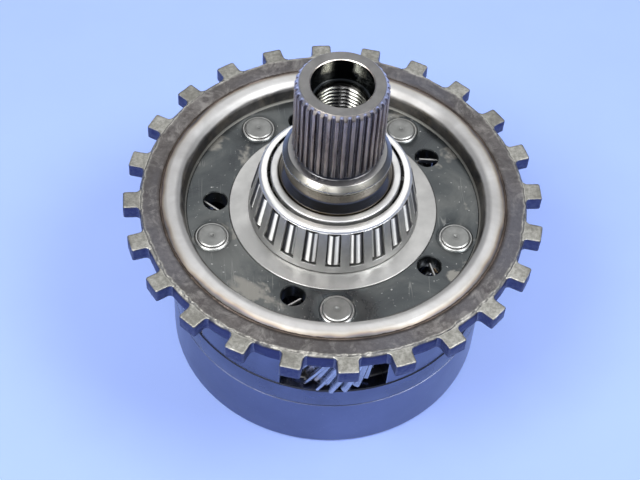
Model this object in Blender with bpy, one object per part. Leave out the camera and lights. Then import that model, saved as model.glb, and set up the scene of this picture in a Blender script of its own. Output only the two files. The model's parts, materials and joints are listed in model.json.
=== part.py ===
"""Rear planetary gear set of an automatic transaxle, as an assembly of separate pieces.

A carrier with five helical planets turns with a splined hollow output shaft. The shaft carries a
tapered roller bearing cone, a lug ring for the parking pawl is fixed round the carrier's rim, and the
internally toothed drum of the neighbouring gear set hangs below. The origin is the centre of the
drum's lower rim, and +Z runs up the shaft. Lengths are in metres.
"""
from math import acos, atan2, cos, pi, radians, sin, tan

import bmesh
import bpy
from mathutils import Matrix, Vector

MM = 0.001
GAP = 0.3 * MM                      # clearance left between fitted pieces
TURN = 2 * pi

# Heights of the main faces
DRUM_TOP = 29.2 * MM
END_PLATE_BOTTOM = 33.5 * MM
END_PLATE_TOP = 40.2 * MM
WINDOW_BOTTOM = 40.5 * MM
PLATE_BOTTOM = 70.0 * MM
PLATE_TOP = 77.0 * MM
LUG_TOP = 84.0 * MM
RIM_TOP = 85.2 * MM
SHAFT_TOP = 151.0 * MM

# Carrier, lug ring and drum
WALL_RADIUS = 67.8 * MM
WALL_INNER = 62.3 * MM
POST_INNER = 55.0 * MM
RIM_RADIUS = 70.8 * MM
CROWN_RADIUS = (WALL_INNER + RIM_RADIUS) / 2
END_PLATE_BORE = 40.0 * MM
FOOT_CHAMFER = 1.2 * MM
LUG_COUNT = 24
LUG_TIP = 86.5 * MM
LUG_ROOT = 79.8 * MM
LUG_HALF_WIDTH = 4.2 * MM
PLANET_COUNT = 5
PIN_PHASE = radians(-92.0)          # direction of the first planet, from +X
WINDOW_HALF_ANGLE = radians(19.0)
OIL_HOLE_RADIUS = 4.85 * MM
OIL_HOLE_CIRCLE = 48.9 * MM
OIL_HOLE_OFFSET = radians(-20.8)    # from its planet's direction

# Gears: transverse module and tooth counts
MODULE = 1.75 * MM
PLANET_TEETH = 18
SUN_TEETH = 42
ANNULUS_TEETH = 70
ANNULUS_ROOT_DEPTH = 1.7 * MM
ANNULUS_TOOTH_HEIGHT = 1.4 * MM
SUN_SPLINES = 24
SUN_SPLINE_ROOT = 26.2 * MM
SUN_SPLINE_TIP = 24.8 * MM
PRESSURE_ANGLE = radians(21.5)
HELIX_ANGLE = radians(23.0)
ADDENDUM = 1.6 * MM
DEDENDUM = 2.0 * MM
FLANK_RELIEF = 0.08 * MM            # taken off each flank, so that the meshes have backlash
CENTRE_DISTANCE = MODULE * (PLANET_TEETH + SUN_TEETH) / 2
GEAR_BOTTOM = 42.2 * MM
GEAR_TOP = 68.0 * MM
TWIST_STEPS = 2

# Planet bearings
PIN_RADIUS = 6.0 * MM
PIN_TOP = 77.9 * MM
NEEDLE_OUTER = 9.3 * MM
PLANET_BORE = 9.6 * MM
WASHER_RADIUS = 13.0 * MM
WASHER_THICKNESS = 1.1 * MM
SUN_WASHER_INNER = 25.5 * MM
SUN_WASHER_OUTER = 33.5 * MM

# Output shaft
FLANGE_RADIUS = 43.2 * MM
FLANGE_TOP = 77.6 * MM
SEAT_RADIUS = 22.9 * MM
SEAT_TOP = 100.5 * MM
WAIST_RADIUS = 20.3 * MM
WAIST_BOTTOM = 104.6 * MM
WAIST_TOP = 109.2 * MM
COLLAR_RADIUS = 21.9 * MM
COLLAR_BOTTOM = 111.0 * MM
COLLAR_TOP = 111.7 * MM
SHOULDER_RADIUS = 19.8 * MM
SHOULDER_HEIGHT = 113.7 * MM
NECK_RADIUS = 16.8 * MM
NECK_BOTTOM = 114.3 * MM
SPLINE_COUNT = 36
SPLINE_TIP = 18.3 * MM
SPLINE_ROOT = 17.1 * MM
SPLINE_BOTTOM = 115.6 * MM
END_CHAMFER = 1.6 * MM
END_FACE_RADIUS = 16.6 * MM
COUNTERBORE_RADIUS = 12.2 * MM
COUNTERBORE_FLOOR = 140.7 * MM
SHAFT_BORE = 10.2 * MM
OIL_DRILLING_RADIUS = 1.5 * MM
OIL_DRILLING_HEIGHT = 142.8 * MM
OIL_DRILLING_TURN = radians(62.5)   # direction of the drilling, from +X

# Tapered bearing cone: every line of it aims at one apex on the shaft's axis
APEX_HEIGHT = LUG_TOP + 163.1 * MM
CAGE_SLOPE = tan(radians(11.8))
ROLLER_ANGLE = radians(10.75)
ROLLER_HALF_ANGLE = radians(1.153)
ROLLER_COUNT = 22
ROLLER_PHASE = radians(-94.4)
ROLLER_BOTTOM = LUG_TOP - 2.4 * MM
ROLLER_TOP = LUG_TOP + 12.9 * MM
CAGE_BOTTOM = LUG_TOP - 6.0 * MM
CAGE_TOP = LUG_TOP + 15.2 * MM
CAGE_SHEET = 0.9 * MM
CAGE_LIP = 27.7 * MM
POCKET_BOTTOM = LUG_TOP - 3.1 * MM
POCKET_TOP = LUG_TOP + 13.8 * MM
POCKET_HALF_WIDTH = 2.9 * MM
RACE_BORE = 23.2 * MM
RACE_TOP = LUG_TOP + 15.8 * MM
LARGE_RIB_RADIUS = 31.6 * MM
SMALL_RIB_RADIUS = 26.4 * MM
TRACK_BOTTOM = LUG_TOP - 3.5 * MM
TRACK_TOP = LUG_TOP + 13.2 * MM

FINE = 60                           # segments round a large circle
MEDIUM = 32
COARSE = 16


# ---- mesh helpers -------------------------------------------------------------------------------

def circle(radius, count, centre=(0.0, 0.0), phase=0.0):
    """Points of a circle, anticlockwise."""
    points = []
    for i in range(count):
        angle = phase + TURN * i / count
        points.append((centre[0] + radius * cos(angle), centre[1] + radius * sin(angle)))
    return points


def polar(radius, angle):
    return (radius * cos(angle), radius * sin(angle))


class Shell:
    """A closed mesh made of rings of points joined by walls and flat caps."""

    def __init__(self):
        self.bm = bmesh.new()

    def ring(self, points, height, twist=0.0):
        turn = Matrix.Rotation(twist, 4, "Z")
        return [self.bm.verts.new(turn @ Vector((x, y, height))) for x, y in points]

    def wall(self, lower, upper):
        count = len(lower)
        for i in range(count):
            j = (i + 1) % count
            self.bm.faces.new((lower[i], lower[j], upper[j], upper[i]))

    def cap(self, *rings):
        edges = []
        for ring in rings:
            for i, vert in enumerate(ring):
                edge = self.bm.edges.get((vert, ring[(i + 1) % len(ring)]))
                if edge is None:
                    edge = self.bm.edges.new((vert, ring[(i + 1) % len(ring)]))
                edges.append(edge)
        bmesh.ops.triangle_fill(self.bm, use_beauty=True, use_dissolve=False, edges=edges)

    def lathe(self, profile, count, closed=True):
        """Turn a profile of (radius, height) points round the Z axis."""
        rings = [self.ring(circle(radius, count), height) for radius, height in profile]
        pairs = list(zip(rings, rings[1:]))
        if closed:
            pairs.append((rings[-1], rings[0]))
        for lower, upper in pairs:
            self.wall(lower, upper)
        return rings

    def mesh(self, name):
        bmesh.ops.recalc_face_normals(self.bm, faces=self.bm.faces)
        mesh = bpy.data.meshes.new(name)
        self.bm.to_mesh(mesh)
        self.bm.free()
        return mesh


def material(name, colour, roughness, metallic):
    found = bpy.data.materials.get(name)
    if found:
        return found
    made = bpy.data.materials.new(name)
    made.use_nodes = True
    shader = made.node_tree.nodes["Principled BSDF"]
    shader.inputs["Base Color"].default_value = (*colour, 1.0)
    shader.inputs["Roughness"].default_value = roughness
    shader.inputs["Metallic"].default_value = metallic
    made.diffuse_color = (*colour, 1.0)
    return made


def place(name, mesh, finish, location=(0.0, 0.0, 0.0), turn=0.0):
    """Add an object, smooth shaded with its sharp edges kept."""
    obj = bpy.data.objects.new(name, mesh)
    bpy.context.scene.collection.objects.link(obj)
    mesh.shade_smooth()
    mesh.set_sharp_from_angle(angle=radians(32.0))
    if not mesh.materials:
        mesh.materials.append(finish)
    obj.location = location
    obj.rotation_euler = (0.0, 0.0, turn)
    return obj


def cut(obj, cutter):
    """Take the cutter's volume out of the object."""
    cutter.hide_render = True
    cutter.display_type = "WIRE"
    modifier = obj.modifiers.new("cut_" + cutter.name, "BOOLEAN")
    modifier.operation = "DIFFERENCE"
    modifier.object = cutter


def ring_solid(name, inner, outer, bottom, top, count):
    shell = Shell()
    shell.lathe([(outer, bottom), (outer, top), (inner, top), (inner, bottom)], count)
    return shell.mesh(name)


# ---- gear outlines ------------------------------------------------------------------------------

def involute(angle):
    return tan(angle) - angle


def tooth_half_angle(radius, pitch_radius, teeth):
    """Half the angle that a tooth covers at a radius, less the flank relief."""
    base = pitch_radius * cos(PRESSURE_ANGLE)
    at = acos(min(1.0, base / radius))
    half = pi / (2 * teeth) + involute(PRESSURE_ANGLE) - involute(at)
    return half - FLANK_RELIEF / pitch_radius


def gear_outline(teeth):
    """Outline of an external gear, with the flanks' true places at root and tip."""
    pitch_radius = teeth * MODULE / 2
    levels = [pitch_radius - DEDENDUM, pitch_radius + ADDENDUM]
    points = []
    for tooth in range(teeth):
        centre = TURN * tooth / teeth
        for radius in levels:
            points.append(polar(radius, centre - tooth_half_angle(radius, pitch_radius, teeth)))
        for radius in reversed(levels):
            points.append(polar(radius, centre + tooth_half_angle(radius, pitch_radius, teeth)))
    return points


def block_outline(count, low, high, low_half, high_half):
    """Outline with straight-sided teeth: half angles are those of a tooth at each radius."""
    points = []
    for tooth in range(count):
        centre = TURN * tooth / count
        points.append(polar(low, centre - low_half))
        points.append(polar(high, centre - high_half))
        points.append(polar(high, centre + high_half))
        points.append(polar(low, centre + low_half))
    return points


def helical_gear(name, outline, bore, twist):
    """Loft a gear outline from bottom to top with a twist, round a plain or splined bore."""
    shell = Shell()
    rings = []
    for step in range(TWIST_STEPS + 1):
        share = step / TWIST_STEPS
        height = GEAR_BOTTOM + (GEAR_TOP - GEAR_BOTTOM) * share
        rings.append(shell.ring(outline, height, twist * share))
    for lower, upper in zip(rings, rings[1:]):
        shell.wall(lower, upper)
    bore_bottom = shell.ring(bore, GEAR_BOTTOM)
    bore_top = shell.ring(bore, GEAR_TOP)
    shell.wall(bore_bottom, bore_top)
    shell.cap(rings[0], bore_bottom)
    shell.cap(rings[-1], bore_top)
    return shell.mesh(name)


# ---- carrier ------------------------------------------------------------------------------------

def planet_angle(index):
    return PIN_PHASE + TURN * index / PLANET_COUNT


def planet_centre(index):
    return polar(CENTRE_DISTANCE, planet_angle(index))


def sector_cutter(name, half_angle, inner, outer, bottom, top):
    """A block bounded by two arcs, for cutting one window through the wall."""
    steps = 6
    outline = []
    for i in range(steps + 1):
        angle = half_angle * (2 * i / steps - 1)
        outline.append(polar(outer, angle))
    for i in range(steps + 1):
        angle = half_angle * (1 - 2 * i / steps)
        outline.append(polar(inner, angle))
    shell = Shell()
    lower = shell.ring(outline, bottom)
    upper = shell.ring(outline, top)
    shell.wall(lower, upper)
    shell.cap(lower)
    shell.cap(upper)
    return shell.mesh(name)


def drill(name, radius, bottom, top, count):
    shell = Shell()
    points = circle(radius, count)
    lower = shell.ring(points, bottom)
    upper = shell.ring(points, top)
    shell.wall(lower, upper)
    shell.cap(lower)
    shell.cap(upper)
    return shell.mesh(name)


def build_carrier_housing(finish, cutter_finish):
    """Wall, top plate and crowned rim in one piece, with windows, pin holes and oil holes."""
    profile = [
        (WALL_RADIUS, DRUM_TOP + GAP),
        (WALL_RADIUS, PLATE_TOP - GAP),
        (RIM_RADIUS, PLATE_TOP - GAP),
        (RIM_RADIUS, LUG_TOP + 0.3 * MM),
        (CROWN_RADIUS + 2.0 * MM, RIM_TOP - 0.1 * MM),
        (CROWN_RADIUS, RIM_TOP),
        (CROWN_RADIUS - 2.2 * MM, RIM_TOP - 0.5 * MM),
        (WALL_INNER, LUG_TOP - 1.0 * MM),
        (WALL_INNER - 0.8 * MM, PLATE_TOP),
        (FLANGE_RADIUS + GAP, PLATE_TOP),
        (FLANGE_RADIUS + GAP, PLATE_BOTTOM),
        (POST_INNER, PLATE_BOTTOM),
        (POST_INNER, WINDOW_BOTTOM),
        (WALL_INNER, WINDOW_BOTTOM),
        (WALL_INNER, DRUM_TOP + GAP),
    ]
    shell = Shell()
    shell.lathe(profile, FINE)
    housing = place("carrier_housing", shell.mesh("carrier_housing"), finish)
    window = sector_cutter("window", WINDOW_HALF_ANGLE, POST_INNER - 2 * MM, RIM_RADIUS + 2 * MM,
                           WINDOW_BOTTOM, PLATE_BOTTOM - 0.2 * MM)
    pin_hole = drill("pin_hole", PIN_RADIUS + GAP, PLATE_BOTTOM - MM, PLATE_TOP + MM, COARSE)
    oil_hole = drill("oil_hole", OIL_HOLE_RADIUS, PLATE_BOTTOM - MM, PLATE_TOP + MM, COARSE)
    for index in range(PLANET_COUNT):
        angle = planet_angle(index)
        label = str(index + 1)
        cut(housing, place("window_cutter_" + label, window, cutter_finish, turn=angle))
        at = (*planet_centre(index), 0.0)
        cut(housing, place("pin_cutter_" + label, pin_hole, cutter_finish, at))
        at = (*polar(OIL_HOLE_CIRCLE, angle + OIL_HOLE_OFFSET), 0.0)
        cut(housing, place("oil_cutter_" + label, oil_hole, cutter_finish, at))


def build_end_plate(finish):
    """Lower plate that holds the other end of the planet pins."""
    outlines = [circle(WALL_INNER - GAP, FINE), circle(END_PLATE_BORE, FINE)]
    for index in range(PLANET_COUNT):
        outlines.append(circle(PIN_RADIUS + GAP, COARSE, planet_centre(index)))
    shell = Shell()
    lower = [shell.ring(points, END_PLATE_BOTTOM) for points in outlines]
    upper = [shell.ring(points, END_PLATE_TOP) for points in outlines]
    for low, high in zip(lower, upper):
        shell.wall(low, high)
    shell.cap(*lower)
    shell.cap(*upper)
    place("carrier_end_plate", shell.mesh("carrier_end_plate"), finish)


def build_lug_ring(finish):
    """Ring with square lugs that a pawl locks into, on a shoulder of the carrier's rim."""
    half = LUG_HALF_WIDTH / LUG_TIP
    root_half = LUG_HALF_WIDTH / LUG_ROOT
    outline = []
    for lug in range(LUG_COUNT):
        centre = -pi / 2 + TURN * lug / LUG_COUNT
        outline.append(polar(LUG_ROOT, centre - root_half))
        outline.append(polar(LUG_TIP, centre - half))
        outline.append(polar(LUG_TIP, centre))
        outline.append(polar(LUG_TIP, centre + half))
        outline.append(polar(LUG_ROOT, centre + root_half))
        outline.append(polar(LUG_ROOT, centre + pi / LUG_COUNT))
    bore = circle(RIM_RADIUS + GAP, FINE)
    shell = Shell()
    lower = shell.ring(outline, PLATE_TOP)
    upper = shell.ring(outline, LUG_TOP)
    bore_lower = shell.ring(bore, PLATE_TOP)
    bore_upper = shell.ring(bore, LUG_TOP)
    shell.wall(lower, upper)
    shell.wall(bore_lower, bore_upper)
    shell.cap(lower, bore_lower)
    shell.cap(upper, bore_upper)
    place("parking_lug_ring", shell.mesh("parking_lug_ring"), finish)


def build_annulus_drum(finish):
    """Drum with internal teeth for the neighbouring gear set, standing on its open end."""
    pitch_radius = ANNULUS_TEETH * MODULE / 2
    quarter = TURN / ANNULUS_TEETH / 4
    teeth = block_outline(ANNULUS_TEETH, pitch_radius + ANNULUS_ROOT_DEPTH,
                          pitch_radius - ANNULUS_TOOTH_HEIGHT, 1.5 * quarter, 0.55 * quarter)
    outer = circle(WALL_RADIUS, FINE)
    shell = Shell()
    foot = shell.ring(circle(WALL_RADIUS - FOOT_CHAMFER, FINE), 0.0)
    side = shell.ring(outer, FOOT_CHAMFER)
    shoulder = shell.ring(outer, DRUM_TOP)
    shell.wall(foot, side)
    shell.wall(side, shoulder)
    teeth_foot = shell.ring(teeth, 0.0)
    teeth_top = shell.ring(teeth, DRUM_TOP)
    shell.wall(teeth_foot, teeth_top)
    shell.cap(foot, teeth_foot)
    shell.cap(shoulder, teeth_top)
    place("annulus_drum", shell.mesh("annulus_drum"), finish)


# ---- planets, pins and sun ----------------------------------------------------------------------

def build_planets(steel, needle_steel, pin_steel, washer_finish):
    """Five planets, each on its pin and needle rollers between two thrust washers."""
    pitch_radius = PLANET_TEETH * MODULE / 2
    twist = (GEAR_TOP - GEAR_BOTTOM) * tan(HELIX_ANGLE) / pitch_radius
    gear = helical_gear("planet_gear", gear_outline(PLANET_TEETH), circle(PLANET_BORE, COARSE), twist)
    pin = drill("planet_pin", PIN_RADIUS, END_PLATE_BOTTOM + GAP, PIN_TOP, COARSE)
    needles = ring_solid("planet_needles", PIN_RADIUS + GAP, NEEDLE_OUTER,
                         GEAR_BOTTOM + GAP, GEAR_TOP - GAP, COARSE)
    upper = ring_solid("upper_washer", PIN_RADIUS + GAP, WASHER_RADIUS,
                       GEAR_TOP + GAP, GEAR_TOP + GAP + WASHER_THICKNESS, COARSE)
    lower = ring_solid("lower_washer", PIN_RADIUS + GAP, WASHER_RADIUS,
                       GEAR_BOTTOM - GAP - WASHER_THICKNESS, GEAR_BOTTOM - GAP, COARSE)
    for index in range(PLANET_COUNT):
        label = str(index + 1)
        angle = planet_angle(index)
        at = (*planet_centre(index), 0.0)
        mesh_turn = angle * (1 + SUN_TEETH / PLANET_TEETH) + pi + pi / PLANET_TEETH
        place("planet_gear_" + label, gear, steel, at, mesh_turn)
        place("planet_pin_" + label, pin, pin_steel, at)
        place("planet_needle_bearing_" + label, needles, needle_steel, at)
        place("planet_washer_upper_" + label, upper, washer_finish, at)
        place("planet_washer_lower_" + label, lower, washer_finish, at)


def build_sun(steel, washer_finish):
    """Central sun gear with a splined bore, and the washer above it."""
    pitch_radius = SUN_TEETH * MODULE / 2
    twist = -(GEAR_TOP - GEAR_BOTTOM) * tan(HELIX_ANGLE) / pitch_radius
    quarter = TURN / SUN_SPLINES / 4
    bore = block_outline(SUN_SPLINES, SUN_SPLINE_ROOT, SUN_SPLINE_TIP, 1.3 * quarter, 0.7 * quarter)
    place("sun_gear", helical_gear("sun_gear", gear_outline(SUN_TEETH), bore, twist), steel)
    washer = ring_solid("sun_thrust_washer", SUN_WASHER_INNER, SUN_WASHER_OUTER, GEAR_TOP + GAP,
                        GEAR_TOP + GAP + WASHER_THICKNESS, MEDIUM)
    place("sun_thrust_washer", washer, washer_finish)


# ---- shaft and bearing --------------------------------------------------------------------------

def build_output_shaft(finish, cutter_finish):
    """Hollow shaft with a flange, a bearing seat, a collar and external splines."""
    lathe_profile = [
        (SHAFT_BORE, PLATE_BOTTOM),
        (FLANGE_RADIUS, PLATE_BOTTOM),
        (FLANGE_RADIUS, FLANGE_TOP - 0.5 * MM),
        (FLANGE_RADIUS - 0.5 * MM, FLANGE_TOP),
        (SEAT_RADIUS, FLANGE_TOP),
        (SEAT_RADIUS, SEAT_TOP),
        (WAIST_RADIUS, WAIST_BOTTOM),
        (WAIST_RADIUS, WAIST_TOP),
        (COLLAR_RADIUS, COLLAR_BOTTOM),
        (COLLAR_RADIUS, COLLAR_TOP),
        (SHOULDER_RADIUS, SHOULDER_HEIGHT),
        (NECK_RADIUS, NECK_BOTTOM),
        (NECK_RADIUS, SPLINE_BOTTOM),
    ]
    shell = Shell()
    turned = shell.lathe(lathe_profile, MEDIUM, closed=False)
    quarter = TURN / SPLINE_COUNT / 4
    splines = block_outline(SPLINE_COUNT, SPLINE_ROOT, SPLINE_TIP, 1.25 * quarter, 0.8 * quarter)
    end = [polar(END_FACE_RADIUS, atan2(y, x)) for x, y in splines]
    spline_bottom = shell.ring(splines, SPLINE_BOTTOM)
    spline_top = shell.ring(splines, SHAFT_TOP - END_CHAMFER)
    face = shell.ring(end, SHAFT_TOP)
    shell.cap(turned[-1], spline_bottom)
    shell.wall(spline_bottom, spline_top)
    shell.wall(spline_top, face)
    mouth = shell.ring(circle(COUNTERBORE_RADIUS, MEDIUM), SHAFT_TOP)
    floor = shell.ring(circle(COUNTERBORE_RADIUS, MEDIUM), COUNTERBORE_FLOOR)
    throat = shell.ring(circle(SHAFT_BORE, MEDIUM), COUNTERBORE_FLOOR)
    shell.cap(face, mouth)
    shell.wall(mouth, floor)
    shell.wall(floor, throat)
    shell.wall(throat, turned[0])
    shaft = place("output_shaft", shell.mesh("output_shaft"), finish)
    drilling = drill("oil_drilling", OIL_DRILLING_RADIUS, 0.0, 24 * MM, 12)
    cutter = place("oil_drilling_cutter", drilling, cutter_finish, (0, 0, OIL_DRILLING_HEIGHT))
    cutter.rotation_euler = (0.0, pi / 2, OIL_DRILLING_TURN)
    cut(shaft, cutter)


def cone_radius(height, angle):
    """Radius, at a height, of a cone about the shaft whose tip is the bearing's apex."""
    return (APEX_HEIGHT - height) * tan(angle)


def build_inner_race(finish):
    """Bearing cone: a tapered track between a large and a small rib."""
    track = ROLLER_ANGLE - ROLLER_HALF_ANGLE
    profile = [
        (RACE_BORE, CAGE_BOTTOM),
        (LARGE_RIB_RADIUS, CAGE_BOTTOM),
        (LARGE_RIB_RADIUS, TRACK_BOTTOM),
        (cone_radius(TRACK_BOTTOM, track) - GAP, TRACK_BOTTOM),
        (cone_radius(TRACK_TOP, track) - GAP, TRACK_TOP),
        (SMALL_RIB_RADIUS, TRACK_TOP),
        (SMALL_RIB_RADIUS, RACE_TOP - 0.4 * MM),
        (SMALL_RIB_RADIUS - 0.4 * MM, RACE_TOP),
        (RACE_BORE + 0.6 * MM, RACE_TOP),
        (RACE_BORE, RACE_TOP - 0.6 * MM),
    ]
    shell = Shell()
    shell.lathe(profile, MEDIUM)
    place("bearing_inner_race", shell.mesh("bearing_inner_race"), finish)


def build_cage(finish):
    """Pressed conical cage with one pocket for each roller and an inward lip at the top."""
    def radius(height):
        return (APEX_HEIGHT - height) * CAGE_SLOPE

    heights = [CAGE_BOTTOM, POCKET_BOTTOM, POCKET_TOP, CAGE_TOP]
    columns = []
    for roller in range(ROLLER_COUNT):
        centre = ROLLER_PHASE + TURN * roller / ROLLER_COUNT
        columns += [(centre, -1), (centre, 1)]

    def row(offset, height, inset):
        points = []
        size = radius(height) - inset
        reach = POCKET_HALF_WIDTH / radius((POCKET_BOTTOM + POCKET_TOP) / 2)
        for centre, side in columns:
            points.append(polar(size, centre + side * reach))
        return shell.ring(points, height - offset)

    shell = Shell()
    outside = [row(0.0, height, 0.0) for height in heights]
    inside = [row(0.0, height, CAGE_SHEET) for height in heights[:-1]]
    inside.append(row(CAGE_SHEET, CAGE_TOP, CAGE_SHEET))
    lip_top = row(0.0, CAGE_TOP, radius(CAGE_TOP) - CAGE_LIP)
    lip_under = row(CAGE_SHEET, CAGE_TOP, radius(CAGE_TOP) - CAGE_LIP)
    for sheet in (outside, inside):
        shell.wall(sheet[0], sheet[1])
        shell.wall(sheet[2], sheet[3])
        for i in range(1, len(columns), 2):
            j = (i + 1) % len(columns)
            shell.bm.faces.new((sheet[1][i], sheet[1][j], sheet[2][j], sheet[2][i]))
    for i in range(0, len(columns), 2):
        loop = [(1, i), (1, i + 1), (2, i + 1), (2, i)]
        for here, there in zip(loop, loop[1:] + loop[:1]):
            shell.bm.faces.new((outside[here[0]][here[1]], outside[there[0]][there[1]],
                                inside[there[0]][there[1]], inside[here[0]][here[1]]))
    shell.wall(outside[0], inside[0])
    shell.wall(outside[3], lip_top)
    shell.wall(lip_top, lip_under)
    shell.wall(lip_under, inside[3])
    place("bearing_cage", shell.mesh("bearing_cage"), finish)


def build_rollers(finish):
    """Tapered rollers, each with its origin and its own Z axis on its line to the apex."""
    middle = (ROLLER_BOTTOM + ROLLER_TOP) / 2
    length = (ROLLER_TOP - ROLLER_BOTTOM) / cos(ROLLER_ANGLE)
    reach = (APEX_HEIGHT - middle) / cos(ROLLER_ANGLE)
    swell = tan(ROLLER_HALF_ANGLE)
    bm = bmesh.new()
    bmesh.ops.create_cone(bm, cap_ends=True, segments=12, radius1=(reach + length / 2) * swell,
                          radius2=(reach - length / 2) * swell, depth=length)
    mesh = bpy.data.meshes.new("bearing_roller")
    bm.to_mesh(mesh)
    bm.free()
    for roller in range(ROLLER_COUNT):
        angle = ROLLER_PHASE + TURN * roller / ROLLER_COUNT
        at = (*polar(cone_radius(middle, ROLLER_ANGLE), angle), middle)
        obj = place("bearing_roller_%02d" % (roller + 1), mesh, finish, at)
        obj.rotation_euler = (0.0, -ROLLER_ANGLE, angle)


# ---- assembly -----------------------------------------------------------------------------------

def clear_scene():
    for obj in list(bpy.data.objects):
        bpy.data.objects.remove(obj, do_unlink=True)


def main():
    clear_scene()
    cutter = material("cutter", (0.8, 0.2, 0.2), 0.5, 0.0)
    machined = material("machined_steel", (0.62, 0.61, 0.60), 0.28, 1.0)
    forged = material("forged_steel", (0.24, 0.22, 0.21), 0.60, 0.8)
    dark = material("dark_steel", (0.13, 0.13, 0.14), 0.38, 0.9)
    shaft = material("shaft_steel", (0.33, 0.32, 0.35), 0.30, 1.0)
    bright = material("bearing_steel", (0.72, 0.72, 0.72), 0.16, 1.0)
    gear = material("gear_steel", (0.30, 0.31, 0.34), 0.32, 1.0)
    bronze = material("washer_bronze", (0.50, 0.36, 0.20), 0.40, 1.0)
    build_carrier_housing(machined, cutter)
    build_end_plate(machined)
    build_lug_ring(forged)
    build_annulus_drum(dark)
    build_planets(gear, bright, machined, bronze)
    build_sun(gear, bronze)
    build_output_shaft(shaft, cutter)
    build_inner_race(bright)
    build_cage(bright)
    build_rollers(bright)


main()
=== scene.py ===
"""Finished looks of the planetary gear set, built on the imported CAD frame.

Every piece but the weld bead stands for a CAD node at the same place and size, with its rounded edges,
true tooth flanks, thread and machining marks. Lengths are in millimetres, and MM turns them into metres.
"""
import json
from math import acos, atan2, cos, exp, hypot, pi, radians, sin, tan

import bmesh
import bpy
from mathutils import Matrix, Vector, noise


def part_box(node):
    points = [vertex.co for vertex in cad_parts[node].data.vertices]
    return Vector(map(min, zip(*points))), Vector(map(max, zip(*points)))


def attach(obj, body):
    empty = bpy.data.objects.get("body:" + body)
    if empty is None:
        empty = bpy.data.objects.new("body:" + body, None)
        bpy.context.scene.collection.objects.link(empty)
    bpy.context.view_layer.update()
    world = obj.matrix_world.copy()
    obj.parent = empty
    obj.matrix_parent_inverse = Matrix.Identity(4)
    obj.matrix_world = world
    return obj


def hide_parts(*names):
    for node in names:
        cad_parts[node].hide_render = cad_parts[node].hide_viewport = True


MM = 0.001
TURN = 2 * pi
GAP = 0.3
VERY_FINE = 288                     # segments round the largest circles
FINE = 192
MEDIUM = 96
COARSE = 48
SMALL = 16

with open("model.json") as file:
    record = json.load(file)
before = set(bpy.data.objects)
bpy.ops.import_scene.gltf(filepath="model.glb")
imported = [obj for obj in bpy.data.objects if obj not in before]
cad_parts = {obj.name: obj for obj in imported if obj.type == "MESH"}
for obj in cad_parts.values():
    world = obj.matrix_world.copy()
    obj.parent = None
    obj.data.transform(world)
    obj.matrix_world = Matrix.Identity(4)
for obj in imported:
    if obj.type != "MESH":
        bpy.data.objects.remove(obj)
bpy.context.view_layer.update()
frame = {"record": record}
JOINTS = {joint["name"]: joint for joint in frame["record"]["behaviour"]["joints"]}


def heights(node):
    """Lowest and highest Z of a CAD node."""
    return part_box(node)[0].z / MM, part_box(node)[1].z / MM


def outer_radius(node):
    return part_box(node)[1].x / MM


# Places read from the frame
DRUM_TOP = heights("annulus_drum")[1]
WALL_RADIUS = outer_radius("annulus_drum")
END_PLATE_LOW, END_PLATE_HIGH = heights("carrier_end_plate")
RIM_RADIUS = outer_radius("carrier_housing")
RIM_TOP = heights("carrier_housing")[1]
LUG_BOTTOM, LUG_TOP = heights("parking_lug_ring")
LUG_TIP = outer_radius("parking_lug_ring")
GEAR_LOW, GEAR_HIGH = heights("planet_gear_1")
PIN_LOW, PIN_TOP = heights("planet_pin_1")
SHAFT_LOW, SHAFT_TOP = heights("output_shaft")
FLANGE_RADIUS = outer_radius("output_shaft")
RACE_LOW, RACE_TOP = heights("bearing_inner_race")
CAGE_LOW, CAGE_TOP = heights("bearing_cage")

# Carrier
PLANETS = range(1, 6)
PLATE_TOP = LUG_BOTTOM
PLATE_BOTTOM = SHAFT_LOW
WALL_INNER = 62.3
POST_INNER = 55.0
WINDOW_LOW = END_PLATE_HIGH + GAP
WINDOW_HIGH = PLATE_BOTTOM - 0.2
WINDOW_HALF_ANGLE = radians(19.0)
OIL_HOLE_RADIUS = 4.85
OIL_HOLE_CIRCLE = 48.9
OIL_HOLE_OFFSET = radians(-20.8)
# turn of the painted-highlight bar in each oil hole
GLINT_BAR_TURN = radians(144.0)              # from the hole's own direction
LUG_COUNT = 24
LUG_ROOT = 79.8
LUG_HALF_WIDTH = 4.2

# Gears
MODULE = 1.75
PLANET_TEETH = 18
SUN_TEETH = 42
ANNULUS_TEETH = 70
PRESSURE_ANGLE = radians(21.5)
HELIX_ANGLE = radians(23.0)
ADDENDUM = 1.6
DEDENDUM = 2.0
FLANK_RELIEF = 0.08
PIN_RADIUS = 6.0
NEEDLE_OUTER = 9.3
PLANET_BORE = 9.6
WASHER_RADIUS = 13.0

# Shaft
SEAT_RADIUS = 22.9
SPLINE_COUNT = 36
SPLINE_TIP = 18.3
SPLINE_ROOT = 17.0
SPLINE_LOW = 115.6
FLANGE_TOP = 77.6
SEAT_TOP = 100.5
WAIST_RADIUS = 20.3
COLLAR_RADIUS = 21.9
COLLAR_LOW = 111.0
COLLAR_HIGH = 111.7
NECK_RADIUS = 16.8
END_FACE_RADIUS = 16.6
COUNTERBORE_RADIUS = 12.2
COUNTERBORE_FLOOR = 140.7
THREAD_MINOR = 9.75
THREAD_MAJOR = 10.75
THREAD_PITCH = 2.0
THREAD_DEPTH = 34.0
OIL_DRILLING_RADIUS = 1.5
OIL_DRILLING_HEIGHT = 142.8
OIL_DRILLING_TURN = radians(62.5)

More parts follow.
